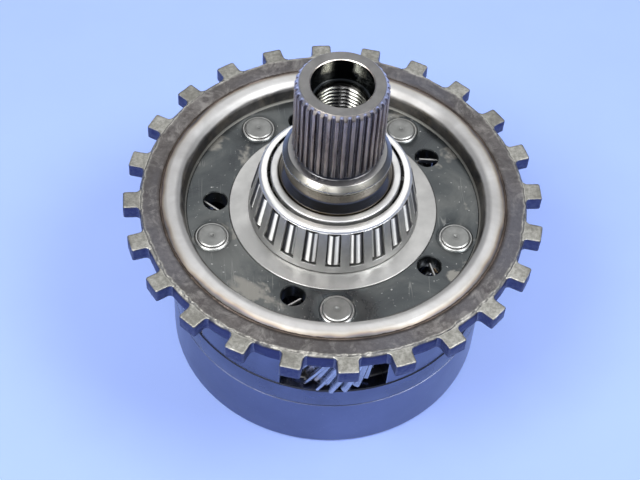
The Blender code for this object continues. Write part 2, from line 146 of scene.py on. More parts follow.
# Bearing
APEX_HEIGHT = LUG_TOP + 163.1
CAGE_SLOPE = tan(radians(11.8))
CAGE_SHEET = 0.9
CAGE_LIP = 27.7
POCKET_LOW = LUG_TOP - 3.1
POCKET_HIGH = LUG_TOP + 13.8
POCKET_HALF_WIDTH = 2.9
ROLLER_COUNT = 22
ROLLER_ANGLE = radians(10.75)
ROLLER_HALF_ANGLE = radians(1.153)
ROLLER_LOW = LUG_TOP - 2.4
ROLLER_HIGH = LUG_TOP + 12.9
RACE_BORE = 23.2


# ---- mesh helpers -------------------------------------------------------------------------------

def polar(radius, angle):
    return (radius * cos(angle), radius * sin(angle))


def circle(radius, count, centre=(0.0, 0.0)):
    points = []
    for i in range(count):
        x, y = polar(radius, TURN * i / count)
        points.append((centre[0] + x, centre[1] + y))
    return points


def blend(low, high, share):
    return low + (high - low) * share


def smooth_step(share):
    share = min(1.0, max(0.0, share))
    return share * share * (3 - 2 * share)


def stations(start, end, count, is_open):
    """Equally spaced angles from start up to end, each with whether the wall is open there."""
    return [(blend(start, end, step / count), is_open) for step in range(count)]


def rounded(corners, steps=4):
    """Points of a profile of (radius, height, fillet) corners. A corner without a fillet stays sharp."""
    points = []
    count = len(corners)
    for i, (x, y, *fillet) in enumerate(corners):
        if not fillet:
            points.append((x, y))
            continue
        here = Vector((x, y))
        before = Vector(corners[i - 1][:2]) - here
        after = Vector(corners[(i + 1) % count][:2]) - here
        half = before.angle(after) / 2
        reach = min(fillet[0] / tan(half), 0.45 * before.length, 0.45 * after.length)
        size = reach * tan(half)
        middle = here + (before.normalized() + after.normalized()).normalized() * (size / sin(half))
        start = here + before.normalized() * reach - middle
        end = here + after.normalized() * reach - middle
        sweep = start.angle_signed(end)
        for step in range(steps + 1):
            points.append(tuple(middle + Matrix.Rotation(-sweep * step / steps, 2) @ start))
    return points


def ring_section(inner, outer, low, high, fillet):
    """Corners of a plain ring."""
    return [(outer, low, fillet), (outer, high, fillet), (inner, high, fillet), (inner, low, fillet)]


class Shell:
    """A mesh made of rings of points joined by walls and flat caps."""

    def __init__(self):
        self.bm = bmesh.new()

    def ring(self, points, height=None, twist=0.0):
        """Points in space, or flat ones set at a height and turned."""
        if height is not None:
            points = [(x, y, height) for x, y in points]
        turn = Matrix.Rotation(twist, 3, "Z")
        return [self.bm.verts.new(turn @ Vector(point) * MM) for point in points]

    def shaped_ring(self, count, place):
        """A ring whose radius and height are worked out at each angle."""
        points = []
        for i in range(count):
            angle = TURN * i / count
            radius, height = place(angle)
            points.append((*polar(radius, angle), height))
        return self.ring(points)

    def wall(self, lower, upper, closed=True):
        count = len(lower)
        for i in range(count if closed else count - 1):
            j = (i + 1) % count
            self.bm.faces.new((lower[i], lower[j], upper[j], upper[i]))

    def walls(self, rings, closed=False):
        for lower, upper in zip(rings, rings[1:]):
            self.wall(lower, upper)
        if closed:
            self.wall(rings[-1], rings[0])
        return rings

    def loop(self, ring):
        edges = []
        for i, vert in enumerate(ring):
            after = ring[(i + 1) % len(ring)]
            edges.append(self.bm.edges.get((vert, after)) or self.bm.edges.new((vert, after)))
        return edges

    def cap(self, *rings):
        """A flat face bounded by one ring, or by a ring and its holes."""
        edges = [edge for ring in rings for edge in self.loop(ring)]
        bmesh.ops.triangle_fill(self.bm, use_beauty=True, use_dissolve=False, edges=edges)

    def solid(self, rings):
        self.walls(rings)
        self.cap(rings[0])
        self.cap(rings[-1])

    def eased(self, soft, plain, low, high, ease):
        """Walls along an outline, with both ends eased."""
        return self.walls([self.ring(soft, low), self.ring(plain, low + ease),
                           self.ring(plain, high - ease), self.ring(soft, high)])

    def lathe(self, profile, count, closed=True):
        return self.walls([self.ring(circle(radius, count), height) for radius, height in profile], closed)

    def mesh(self, name):
        bmesh.ops.recalc_face_normals(self.bm, faces=self.bm.faces)
        mesh = bpy.data.meshes.new(name)
        self.bm.to_mesh(mesh)
        self.bm.free()
        return mesh


def add_object(name, data):
    obj = bpy.data.objects.new(name, data)
    bpy.context.scene.collection.objects.link(obj)
    return obj


def moved(x, y, z):
    return Matrix.Translation((x * MM, y * MM, z * MM))


def piece(name, mesh, finish, node, body="carrier", matrix=None, sharp=38.0):
    """Add a piece that rides on a body and stands for a CAD node."""
    obj = add_object(name, mesh)
    mesh.shade_smooth()
    mesh.set_sharp_from_angle(angle=radians(sharp))
    if not mesh.materials:
        mesh.materials.append(finish)
    if matrix is not None:
        obj.matrix_world = matrix
    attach(obj, body)
    if node:
        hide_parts(node)
    return obj


def face_finishes(mesh, finishes, choose):
    """Give a mesh its finishes. From a face's centre and first point, choose gives the finish's number."""
    for finish in finishes:
        mesh.materials.append(finish)
    for face in mesh.polygons:
        face.material_index = int(choose(face.center / MM, face.vertices[0]))


def soften(obj, width, angle):
    """Round the sharp edges of a piece."""
    modifier = obj.modifiers.new("soft_edges", "BEVEL")
    modifier.width = width * MM
    modifier.segments = 2
    modifier.limit_method = "ANGLE"
    modifier.angle_limit = radians(angle)
    modifier.harden_normals = False


def turned_piece(name, corners, finish, node, count=FINE):
    """A turned ring from a closed profile."""
    shell = Shell()
    shell.lathe(rounded(corners), count)
    return piece(name, shell.mesh(name), finish, node)


# ---- material helpers ---------------------------------------------------------------------------

def rgba(colour):
    """A colour with its alpha, from three parts or one grey level. A socket stays as it is."""
    if isinstance(colour, float):
        colour = (colour, colour, colour)
    return (*colour, 1.0) if isinstance(colour, tuple) else colour


def fill_ramp(band, stops):
    while len(band.elements) < len(stops):
        band.elements.new(0.5)
    for element, (position, colour) in zip(band.elements, stops):
        element.position = position
        element.color = rgba(colour)


class Finish:
    """A node material, put together with short calls."""

    def __init__(self, name):
        self.material = bpy.data.materials.new(name)
        self.material.use_nodes = True
        self.tree = self.material.node_tree
        self.shader = self.tree.nodes["Principled BSDF"].inputs
        self.place = self.add("ShaderNodeTexCoord").outputs["Object"]
        axes = self.add("ShaderNodeSeparateXYZ", Vector=self.place).outputs
        flat = self.add("ShaderNodeCombineXYZ", X=axes["X"], Y=axes["Y"]).outputs[0]
        self.radius = self.add("ShaderNodeVectorMath", {"operation": "LENGTH"}, Vector=flat).outputs["Value"]
        self.height = axes["Z"]
        self.tone = None
        self.rise = None

    def add(self, kind, settings=None, **inputs):
        node = self.tree.nodes.new(kind)
        for key, value in (settings or {}).items():
            setattr(node, key, value)
        for key, value in inputs.items():
            self.put(node.inputs[key.replace("_", " ")], value)
        return node

    def put(self, socket, value):
        if isinstance(value, bpy.types.NodeSocket):
            self.tree.links.new(value, socket)
        else:
            socket.default_value = value

    def math(self, operation, first, second=0.0):
        node = self.add("ShaderNodeMath", {"operation": operation})
        self.put(node.inputs[0], first)
        self.put(node.inputs[1], second)
        return node.outputs[0]

    def vector(self, operation, first, second=None, share=None):
        """A vector sum. A dot product gives its number."""
        node = self.add("ShaderNodeVectorMath", {"operation": operation})
        self.put(node.inputs[0], first)
        if second is not None:
            self.put(node.inputs[1], second)
        if share is not None:
            self.put(node.inputs["Scale"], share)
        return node.outputs["Value" if operation == "DOT_PRODUCT" else "Vector"]

    def noise(self, scale, detail=4.0, roughness=0.55, vector=None, distortion=0.0):
        return self.add("ShaderNodeTexNoise", Vector=vector or self.place, Scale=scale, Detail=detail,
                        Roughness=roughness, Distortion=distortion).outputs["Fac"]

    def streaks(self, across, along, detail=4.0):
        """Noise drawn out along the Z axis."""
        drawn = self.vector("MULTIPLY", self.place, (across, across, along))
        return self.noise(1.0, detail, 0.6, vector=drawn)

    def lines(self, value, scale, detail=3.0):
        """Noise along one value, for tool marks."""
        return self.add("ShaderNodeTexNoise", {"noise_dimensions": "1D"}, W=value, Scale=scale,
                        Detail=detail, Roughness=0.7).outputs["Fac"]

    def turning(self, scale, detail):
        """Noise in rings, as a lathe leaves on faces and sides."""
        return self.lines(self.math("ADD", self.radius, self.height), scale, detail)

    def scratches(self, scale, turn):
        """Thin straight scratches along one direction, in patches: 1 on a scratch and 0 off it."""
        turned = self.add("ShaderNodeMapping", Vector=self.place, Rotation=(0.0, 0.0, turn),
                          Scale=(1.0, 0.05, 0.05)).outputs[0]
        level = self.noise(scale, 1.0, 0.4, vector=turned)
        near = self.math("ABSOLUTE", self.math("SUBTRACT", level, 0.5))
        line = self.spread(near, 0.0, 0.012, 1.0, 0.0)
        patch = self.spread(self.noise(scale * 0.22, 2.0), 0.56, 0.66)
        return self.math("MULTIPLY", line, patch)

    def spread(self, value, low, high, to_low=0.0, to_high=1.0):
        return self.add("ShaderNodeMapRange", Value=value, From_Min=low, From_Max=high,
                        To_Min=to_low, To_Max=to_high).outputs[0]

    def between(self, value, low, high, to_low=0.0, to_high=1.0):
        """A spread over a length."""
        return self.spread(value, low * MM, high * MM, to_low, to_high)

    def vary(self, value, to_low, to_high):
        """A number that follows a noise."""
        return self.spread(value, 0.3, 0.7, to_low, to_high)

    def ramp(self, value, *stops):
        node = self.add("ShaderNodeValToRGB", Fac=value)
        fill_ramp(node.color_ramp, stops)
        return node.outputs["Color"]

    def shade(self, value, dark, pale):
        """Start the tone, dark where a noise is low and pale where it is high."""
        self.tone = self.ramp(value, (0.3, dark), (0.7, pale))

    def mix(self, share, first, second):
        node = self.add("ShaderNodeMix", {"data_type": "RGBA"}, Factor=share)
        self.put(node.inputs[6], rgba(first))
        self.put(node.inputs[7], rgba(second))
        return node.outputs[2]

    def paint(self, mask, colour, strength=None):
        """Lay a colour over the tone where the mask is 1."""
        if strength is not None:
            mask = self.math("MULTIPLY", mask, strength)
        self.tone = self.mix(mask, self.tone, colour)

    def relief(self, value, strength, distance):
        """Stack a bump on those added before."""
        node = self.add("ShaderNodeBump", Height=value, Strength=strength, Distance=distance * MM)
        if self.rise is not None:
            self.put(node.inputs["Normal"], self.rise)
        self.rise = node.outputs["Normal"]

    def turn_from_view(self):
        """The angle between the face and the viewer, measured round the object's own Z axis."""
        to_world = {"vector_type": "VECTOR", "convert_from": "OBJECT", "convert_to": "WORLD"}
        axis = self.add("ShaderNodeVectorTransform", to_world, Vector=(0.0, 0.0, 1.0)).outputs[0]
        geometry = self.add("ShaderNodeNewGeometry").outputs
        flat = []
        for direction in (geometry["Incoming"], geometry["Normal"]):
            along = self.vector("SCALE", axis, share=self.vector("DOT_PRODUCT", direction, axis))
            flat.append(self.vector("NORMALIZE", self.vector("SUBTRACT", direction, along)))
        return self.math("ARCCOSINE", self.vector("DOT_PRODUCT", *flat))

    def edge_wear_and_highlight(self, reach):
        """1 at convex edges and 0 elsewhere."""
        bevel = self.add("ShaderNodeBevel", {"samples": 4}, Radius=reach * MM).outputs["Normal"]
        flat = self.add("ShaderNodeNewGeometry").outputs["Normal"]
        return self.spread(self.vector("DOT_PRODUCT", bevel, flat), 0.995, 0.90)

    def facing_up(self, low, high):
        """1 on faces that look up and 0 on walls."""
        normal = self.add("ShaderNodeNewGeometry").outputs["Normal"]
        upward = self.add("ShaderNodeSeparateXYZ", Vector=normal).outputs["Z"]
        return self.spread(upward, low, high)

    def stored(self, name):
        """A value kept on the mesh's points."""
        return self.add("ShaderNodeAttribute", {"attribute_name": name}).outputs["Fac"]

    def done(self, roughness, metallic=1.0, grain=0.0, coat=0.0):
        values = {"Base Color": self.tone, "Roughness": roughness, "Metallic": metallic,
                  "Coat Weight": coat, "Coat Roughness": 0.12}
        if grain:
            tangent = self.add("ShaderNodeTangent", {"direction_type": "RADIAL", "axis": "Z"}).outputs[0]
            values.update({"Anisotropic": grain, "Anisotropic Rotation": 0.25, "Tangent": tangent})
        if self.rise is not None:
            values["Normal"] = self.rise
        for name, value in values.items():
            self.put(self.shader[name], value)
        return self.material


# ---- materials ----------------------------------------------------------------------------------

# painted shade and a painted reflection of the blue floor, given to the sides of the lug ring and its lugs
SIDE_SHADE_AND_REFLECTION = (0.046, 0.052, 0.130)      # dark flanks of the lug ring


def turned_steel(name, colour, roughness, grain):
    """Lathe-turned bright steel: fine rings and smudges of oil."""
    f = Finish(name)
    rings = f.turning(2600.0, 4.0)
    cloud = f.noise(55.0, 5.0, 0.6)
    f.tone = f.ramp(cloud, (0.30, tuple(part * 0.78 for part in colour)), (0.62, colour))
    f.paint(f.spread(f.turning(380.0, 2.0), 0.35, 0.65, 0.0, 0.18), (0.30, 0.30, 0.31))
    f.relief(rings, 0.35, 0.06)
    rough = f.math("ADD", f.vary(cloud, roughness + 0.08, roughness - 0.04), f.vary(rings, -0.03, 0.05))
    return f.done(rough, grain=grain)


def rim_steel():
    """The crowned rim: bright turned steel with faint heat tint towards its welded outer edge, a dark oil
    stain with painted shade on its steep inner wall, and a painted highlight line at that wall's foot.
    """
    f = Finish("rim_steel")
    rings = f.turning(1900.0, 4.0)
    wobble = f.vary(f.noise(38.0, 3.0), -1.0 * MM, 1.0 * MM)
    share = f.between(f.math("ADD", f.radius, wobble), RIM_RADIUS - 3.6, RIM_RADIUS)
    f.tone = f.ramp(share, (0.0, (0.66, 0.655, 0.65)), (0.45, (0.62, 0.59, 0.55)),
                    (0.66, (0.45, 0.38, 0.30)), (0.80, (0.26, 0.21, 0.20)), (0.90, (0.16, 0.15, 0.17)),
                    (1.0, (0.09, 0.085, 0.085)))
    slope = f.math("ADD", f.height, f.math("MULTIPLY", wobble, 0.4))
    low = f.between(slope, LUG_TOP - 1.0, LUG_TOP - 0.4, 1.0, 0.0)
    inside = f.between(f.radius, WALL_INNER + 2.5, WALL_INNER + 3.0, 1.0, 0.0)
    # dark mottled oil stain with painted shade on the rim's steep inner wall
    stain_and_shade = f.ramp(f.noise(120.0, 5.0, 0.7, distortion=0.6), (0.45, (0.035, 0.035, 0.038)),
                     (0.62, (0.12, 0.105, 0.085)))
    # painted highlight: a pale line along the inner wall's foot, next to the plate
    foot = f.between(f.height, PLATE_TOP + 1.2, PLATE_TOP + 0.9)
    f.paint(f.math("MULTIPLY", low, inside), f.mix(foot, stain_and_shade, (0.50, 0.50, 0.46)))
    cloud = f.noise(60.0, 5.0, 0.6, distortion=0.5)
    f.paint(f.spread(cloud, 0.35, 0.70, 0.45, 0.0), (0.33, 0.32, 0.31))
    f.relief(rings, 0.30, 0.08)
    f.relief(f.noise(900.0, 3.0), 0.10, 0.06)
    rough = f.math("ADD", f.vary(cloud, 0.60, 0.50), f.spread(share, 0.3, 1.0, 0.0, 0.06))
    return f.done(rough, grain=0.45)


def plate_steel():
    """The recessed plate: dark, oily and blotched, with scratches and bright specks."""
    f = Finish("plate_steel")
    cloud = f.noise(34.0, 6.0, 0.60, distortion=0.7)
    f.tone = f.ramp(cloud, (0.32, (0.036, 0.040, 0.044)), (0.50, (0.066, 0.073, 0.075)),
                    (0.66, (0.125, 0.130, 0.127)))
    f.paint(f.spread(f.noise(44.0, 4.0, 0.6, distortion=0.4), 0.56, 0.615), (0.26, 0.25, 0.225), 0.75)
    scratch = f.math("MAXIMUM", f.scratches(330.0, 0.6), f.scratches(280.0, 2.3))
    f.paint(scratch, (0.40, 0.40, 0.38), 0.35)
    f.paint(f.spread(f.noise(750.0, 2.0), 0.69, 0.74), (0.55, 0.55, 0.54), 0.6)
    f.relief(cloud, 0.22, 0.6)
    f.relief(f.noise(420.0, 4.0, 0.6), 0.22, 0.12)
    f.relief(scratch, 0.20, 0.06)
    return f.done(f.spread(cloud, 0.32, 0.68, 0.24, 0.40), metallic=0.9, coat=0.22)


def wall_steel():
    """The carrier's wall: smooth dark steel with a soft oil sheen, its tone tinted blue as a painted
    reflection of the floor.
    """
    f = Finish("wall_steel")
    cloud = f.noise(40.0, 4.0)
    # tone tinted blue: a painted reflection of the blue floor
    f.shade(cloud, (0.105, 0.115, 0.17), (0.175, 0.19, 0.27))
    f.paint(f.edge_wear_and_highlight(0.5), (0.48, 0.50, 0.56), 0.45)
    f.relief(f.turning(1500.0, 3.0), 0.12, 0.06)
    f.relief(f.noise(700.0, 3.0), 0.10, 0.08)
    return f.done(f.vary(cloud, 0.32, 0.22))


def forged_steel():
    """The lug ring's body: scaly brown-grey, pale on its raised crease from rubbing and a painted highlight,
    and painted shade with a painted blue floor reflection on its sides.
    """
    f = Finish("forged_steel")
    broad = f.noise(32.0, 6.0, 0.65, distortion=0.8)
    grit = f.noise(520.0, 6.0, 0.7)
    f.tone = f.ramp(broad, (0.28, (0.085, 0.080, 0.083)), (0.48, (0.120, 0.112, 0.112)),
                    (0.62, (0.165, 0.152, 0.148)), (0.80, (0.22, 0.205, 0.205)))
    f.paint(f.spread(grit, 0.42, 0.62, 0.45, 0.0), (0.075, 0.068, 0.066))
    rubbed = f.noise(95.0, 6.0, 0.7, distortion=1.4)
    f.paint(f.spread(rubbed, 0.50, 0.66, 0.0, 0.55), (0.36, 0.345, 0.33))
    mottled = f.noise(150.0, 5.0, 0.7, distortion=0.8)
    f.paint(f.spread(mottled, 0.58, 0.66, 0.0, 0.6), (0.07, 0.06, 0.062))
    f.paint(f.spread(f.noise(11.0, 2.0), 0.44, 0.56, 0.0, 0.55), (0.112, 0.116, 0.145))
    # pale crease and outer band: rubbed, with a painted highlight along the crease's ridge
    f.paint(f.stored("wear_and_highlight"), (0.46, 0.45, 0.41), f.spread(grit, 0.34, 0.56, 0.25, 0.95))
    edge = f.math("ADD", f.radius, f.vary(broad, -0.8 * MM, 0.8 * MM))
    burnt = f.between(edge, RIM_RADIUS + 0.4, RIM_RADIUS + 2.2, 1.0, 0.0)
    f.paint(burnt, (0.075, 0.062, 0.055), 0.75)
    # the sides get painted shade and a painted blue floor reflection instead of the forged tone
    f.tone = f.mix(f.facing_up(0.25, 0.60), SIDE_SHADE_AND_REFLECTION, f.tone)
    f.relief(broad, 0.35, 0.9)
    f.relief(grit, 0.45, 0.26)
    f.relief(f.noise(1400.0, 3.0, 0.6), 0.30, 0.12)
    return f.done(f.vary(grit, 0.58, 0.42), metallic=0.85)


def lug_steel():
    """The lugs: rubbed grey-beige tops and rubbed edges, and painted shade with a painted blue floor
    reflection on their sides.
    """
    f = Finish("lug_steel")
    broad = f.noise(75.0, 5.0, 0.6, distortion=0.5)
    grit = f.noise(560.0, 5.0, 0.7)
    f.tone = f.ramp(broad, (0.30, (0.20, 0.195, 0.175)), (0.50, (0.34, 0.335, 0.305)),
                    (0.70, (0.46, 0.455, 0.425)))
    f.paint(f.spread(grit, 0.40, 0.60, 0.5, 0.0), (0.12, 0.115, 0.105))
    # the sides: painted shade and a painted blue floor reflection, flecked by the grit
    side = f.mix(f.spread(grit, 0.35, 0.65, 0.0, 0.5), SIDE_SHADE_AND_REFLECTION, (0.14, 0.15, 0.20))
    f.tone = f.mix(f.facing_up(0.35, 0.70), side, f.tone)
    f.paint(f.edge_wear_and_highlight(0.7), (0.52, 0.51, 0.47), f.spread(broad, 0.3, 0.6, 0.35, 0.85))
    f.relief(broad, 0.30, 0.5)
    f.relief(grit, 0.40, 0.22)
    return f.done(f.vary(grit, 0.52, 0.38), metallic=0.9)


def drum_steel():
    """The drum: smooth, dark, oiled steel, its tone tinted blue as a painted reflection of the floor."""
    f = Finish("drum_steel")
    cloud = f.noise(24.0, 5.0, 0.6)
    # tone tinted blue: a painted reflection of the blue floor
    f.shade(cloud, (0.150, 0.165, 0.245), (0.195, 0.212, 0.305))
    f.paint(f.edge_wear_and_highlight(0.6), (0.42, 0.44, 0.50), 0.35)
    f.paint(f.spread(f.noise(900.0, 2.0), 0.68, 0.74), (0.40, 0.40, 0.42), 0.3)
    f.relief(f.turning(1300.0, 4.0), 0.10, 0.06)
    f.relief(f.noise(500.0, 4.0), 0.08, 0.1)
    return f.done(f.vary(cloud, 0.36, 0.28))


def spline_steel():
    """The shaft's splines: hardened purple-grey, with painted shade in the grooves, painted highlights on the
    crests' edges and the end chamfer, and a dull end face.
    """
    f = Finish("spline_steel")
    streak = f.streaks(900.0, 60.0)
    f.shade(f.noise(90.0, 4.0), (0.27, 0.225, 0.215), (0.44, 0.375, 0.345))
    f.paint(f.spread(streak, 0.45, 0.75, 0.0, 0.55), (0.64, 0.56, 0.51))
    # painted shade in the grooves between the splines
    groove = f.between(f.radius, SPLINE_ROOT + 0.1, SPLINE_TIP - 0.25, 1.0, 0.0)
    f.paint(groove, (0.055, 0.052, 0.065), 0.85)
    # darker towards the splines' lower ends
    f.paint(f.between(f.height, SPLINE_LOW, SPLINE_LOW + 7.0, 0.75, 0.0), (0.07, 0.068, 0.075))
    # painted highlight along the crests' edges
    f.paint(f.edge_wear_and_highlight(0.3), (0.80, 0.78, 0.78), 0.75)
    # painted highlight on the end chamfer
    chamfer = f.between(f.height, SHAFT_TOP - 1.9, SHAFT_TOP - 1.3, 0.0, 0.85)
    f.paint(chamfer, (0.98, 0.88, 0.80))
    face = f.between(f.height, SHAFT_TOP - 0.12, SHAFT_TOP - 0.02)
    f.paint(face, f.ramp(f.noise(150.0, 4.0), (0.3, (0.178, 0.176, 0.176)), (0.7, (0.248, 0.244, 0.242))))
    f.relief(streak, 0.30, 0.12)
    f.relief(f.noise(1200.0, 3.0), 0.12, 0.06)
    return f.done(f.math("ADD", f.vary(streak, 0.24, 0.38), f.math("MULTIPLY", face, 0.16)))


def shaft_steel():
    """The turned part of the shaft: satin flange, a dark waist of oil and painted shade under the collar, a
    straw-tinted collar, and darker again just below the splines.
    """
    f = Finish("shaft_steel")
    cloud = f.noise(60.0, 5.0, 0.6)
    share = f.between(f.height, FLANGE_TOP, SPLINE_LOW)
    # tone by height; the waist's dark stretch is oil with painted shade under the collar
    f.tone = f.ramp(share, (0.0, (0.50, 0.495, 0.48)), (0.50, 0.40), (0.555, (0.108, 0.080, 0.046)),
                    (0.84, (0.112, 0.098, 0.078)), (0.872, (0.50, 0.48, 0.42)),
                    (0.935, (0.54, 0.52, 0.46)), (0.955, (0.20, 0.20, 0.21)), (0.975, (0.07, 0.07, 0.075)))
    f.paint(f.spread(cloud, 0.4, 0.7, 0.40, 0.0), 0.20)
    f.relief(f.turning(2300.0, 4.0), 0.25, 0.06)
    polish = f.ramp(share, (0.0, 0.34), (0.55, 0.30), (0.60, 0.13), (0.84, 0.13), (0.88, 0.24), (1.0, 0.30))
    return f.done(f.math("ADD", polish, f.vary(cloud, 0.06, -0.02)), grain=0.4)


def gear_steel():
    """Gear teeth: ground steel with lapped lines along the flanks and bright tips."""
    f = Finish("gear_steel")
    streak = f.streaks(700.0, 120.0)
    cloud = f.noise(120.0, 4.0)
    f.shade(cloud, (0.34, 0.35, 0.39), (0.52, 0.53, 0.57))
    f.paint(f.spread(streak, 0.4, 0.7, 0.0, 0.35), (0.25, 0.25, 0.27))
    f.paint(f.edge_wear_and_highlight(0.4), (0.78, 0.78, 0.80), 0.8)
    f.relief(streak, 0.25, 0.08)
    f.relief(f.noise(1500.0, 2.0), 0.10, 0.04)
    return f.done(f.vary(cloud, 0.30, 0.18))


def ground_steel(name, colour, roughness, grain):
    """Ground bearing steel: bright, with a faint grain."""
    f = Finish(name)
    cloud = f.noise(140.0, 4.0)
    streak = f.streaks(1600.0, 160.0, 3.0)
    f.tone = f.ramp(cloud, (0.3, tuple(part * 0.84 for part in colour)), (0.65, colour))
    f.relief(streak, 0.08, 0.05)
    f.relief(f.noise(2200.0, 2.0), 0.06, 0.04)
    rough = f.math("ADD", f.vary(cloud, roughness + 0.05, roughness - 0.02), f.vary(streak, 0.0, 0.04))
    return f.done(rough, grain=grain)


def bore_steel():
    """The shaft's bore, its light and shade painted by the angle to the viewer: a polished counterbore
    painted dark as shade with a painted highlight near its mouth, above a thread painted bright with painted
    shade in its roots.
    """
    f = Finish("bore_steel")
    cloud = f.noise(90.0, 3.0)
    turned = f.turn_from_view()
    # painted highlight on faces turned 0.42 to 0.64 rad from the viewer, strongest near the counterbore's
    # mouth
    painted_highlight_band = f.math("MULTIPLY", f.spread(turned, 0.26, 0.42), f.spread(turned, 0.80, 0.64))
    height = f.math("ADD", f.height, f.vary(cloud, -2.0 * MM, 2.0 * MM))
    painted_highlight_patch = f.math("MULTIPLY", painted_highlight_band, f.between(height, SHAFT_TOP - 6.0, SHAFT_TOP - 4.0, 0.04, 0.80))
    # the counterbore painted near black as shade, carrying that painted highlight
    wall = f.mix(painted_highlight_patch, (0.035, 0.040, 0.045), (0.70, 0.70, 0.62))
    # the thread's painted light and shade follow its angle to the viewer; its roots get painted shade
    f.tone = f.ramp(turned, (0.20, 0.09), (0.36, (0.36, 0.36, 0.34)), (0.90, (0.36, 0.36, 0.34)), (1.0, 0.14))
    f.paint(f.between(f.radius, THREAD_MINOR + 0.15, THREAD_MAJOR - 0.40), 0.02)
    f.paint(f.between(f.height, COUNTERBORE_FLOOR - 0.7, COUNTERBORE_FLOOR - 0.3), wall)
    f.relief(f.lines(f.height, 1500.0), 0.15, 0.05)
    return f.done(f.vary(cloud, 0.26, 0.16))


def cage_steel():
    """Pressed cage: satin bars, and a painted highlight on its top lip."""
    f = Finish("cage_steel")
    cloud = f.noise(140.0, 4.0)
    f.shade(cloud, (0.58, 0.58, 0.57), (0.72, 0.72, 0.71))
    # painted highlight on the top lip
    f.paint(f.between(f.height, CAGE_TOP - 1.6, CAGE_TOP - 0.9), (0.95, 0.945, 0.92))
    f.relief(f.noise(900.0, 3.0), 0.06, 0.05)
    return f.done(f.vary(cloud, 0.46, 0.38), grain=0.35)


def roller_steel():
    """Ground rollers: a painted highlight down each side and painted shade between, set by the angle to the
    viewer so that they hold whichever way the rollers turn.
    """
    f = Finish("roller_steel")
    # painted highlight and painted shade by the angle to the viewer
    bright = (0.95, 0.95, 0.93)
    f.tone = f.ramp(f.turn_from_view(), (0.12, 0.11), (0.20, bright), (0.58, bright),
                    (0.80, (0.16, 0.16, 0.17)))
    # painted shade and dark oil on the small end
    f.paint(f.between(f.height, 7.25, 7.45), 0.03)      # the small end, deep in its pocket
    f.relief(f.noise(2200.0, 2.0), 0.03, 0.03)
    return f.done(f.vary(f.noise(140.0, 4.0), 0.50, 0.44), grain=0.92)


def pin_steel():
    """Pin ends: pale satin steel with a faint round tool mark, and a painted highlight on the eased rim."""
    f = Finish("pin_steel")
    cloud = f.noise(220.0, 5.0, 0.6)
    f.shade(cloud, (0.175, 0.178, 0.172), (0.255, 0.258, 0.250))
    mark = f.math("ABSOLUTE", f.math("SUBTRACT", f.radius, 1.5 * MM))
    f.paint(f.between(mark, 0.0, 0.25, 0.4, 0.0), 0.13)
    # painted highlight on the pin's eased rim
    f.paint(f.between(f.radius, PIN_RADIUS - 0.7, PIN_RADIUS - 0.2), (0.55, 0.55, 0.54), 0.7)
    f.relief(f.lines(f.radius, 2600.0), 0.18, 0.06)
    f.relief(cloud, 0.20, 0.12)
    return f.done(f.vary(cloud, 0.46, 0.36))


def washer_bronze():
    f = Finish("washer_bronze")
    cloud = f.noise(160.0, 4.0)
    f.shade(cloud, (0.34, 0.23, 0.12), (0.56, 0.41, 0.24))
    f.relief(f.lines(f.radius, 1800.0), 0.25, 0.08)
    f.relief(cloud, 0.2, 0.1)
    return f.done(f.vary(cloud, 0.46, 0.34))


def weld_steel():
    """The weld bead: dark brown and rippled."""
    f = Finish("weld_steel")
    cloud = f.noise(90.0, 5.0)
    f.tone = f.ramp(cloud, (0.3, (0.045, 0.038, 0.035)), (0.52, (0.085, 0.066, 0.055)),
                    (0.75, (0.16, 0.13, 0.12)))
    f.relief(f.noise(600.0, 5.0, 0.7), 0.5, 0.3)
    return f.done(f.vary(cloud, 0.55, 0.40), metallic=0.9)


RIM_FINISH = rim_steel()
PLATE_FINISH = plate_steel()
STAKE_FINISH = turned_steel("stake_steel", (0.42, 0.42, 0.41), 0.34, 0.0)
WALL_FINISH = wall_steel()
FORGED_FINISH = forged_steel()
LUG_FINISH = lug_steel()
DRUM_FINISH = drum_steel()
SPLINE_FINISH = spline_steel()
SHAFT_FINISH = shaft_steel()
BORE_FINISH = bore_steel()
GEAR_FINISH = gear_steel()
RACE_FINISH = ground_steel("race_steel", (0.78, 0.78, 0.77), 0.42, 0.4)
CAGE_FINISH = cage_steel()
ROLLER_FINISH = roller_steel()
NEEDLE_FINISH = ground_steel("needle_steel", (0.70, 0.70, 0.70), 0.15, 0.0)
PIN_FINISH = pin_steel()
END_PLATE_FINISH = turned_steel("end_plate_steel", (0.46, 0.46, 0.47), 0.30, 0.3)
WASHER_FINISH = washer_bronze()
WELD_FINISH = weld_steel()


# ---- gear outlines ------------------------------------------------------------------------------

def involute(angle):
    return tan(angle) - angle


def tooth_half_angle(radius, teeth, relief):
    """Half the angle that an involute tooth covers at a radius."""
    pitch_radius = teeth * MODULE / 2
    at = acos(min(1.0, pitch_radius * cos(PRESSURE_ANGLE) / radius))
    return pi / (2 * teeth) + involute(PRESSURE_ANGLE) - involute(at) - relief / pitch_radius


def repeat_tooth(count, side, crest=None):
    """Outline of equal teeth, from the (radius, half angle) points up one side of a tooth."""
    points = []
    for tooth in range(count):
        centre = TURN * tooth / count
        points += [polar(radius, centre - half) for radius, half in side]
        if crest is not None:
            points.append(polar(crest, centre))
        points += [polar(radius, centre + half) for radius, half in reversed(side)]
    return points


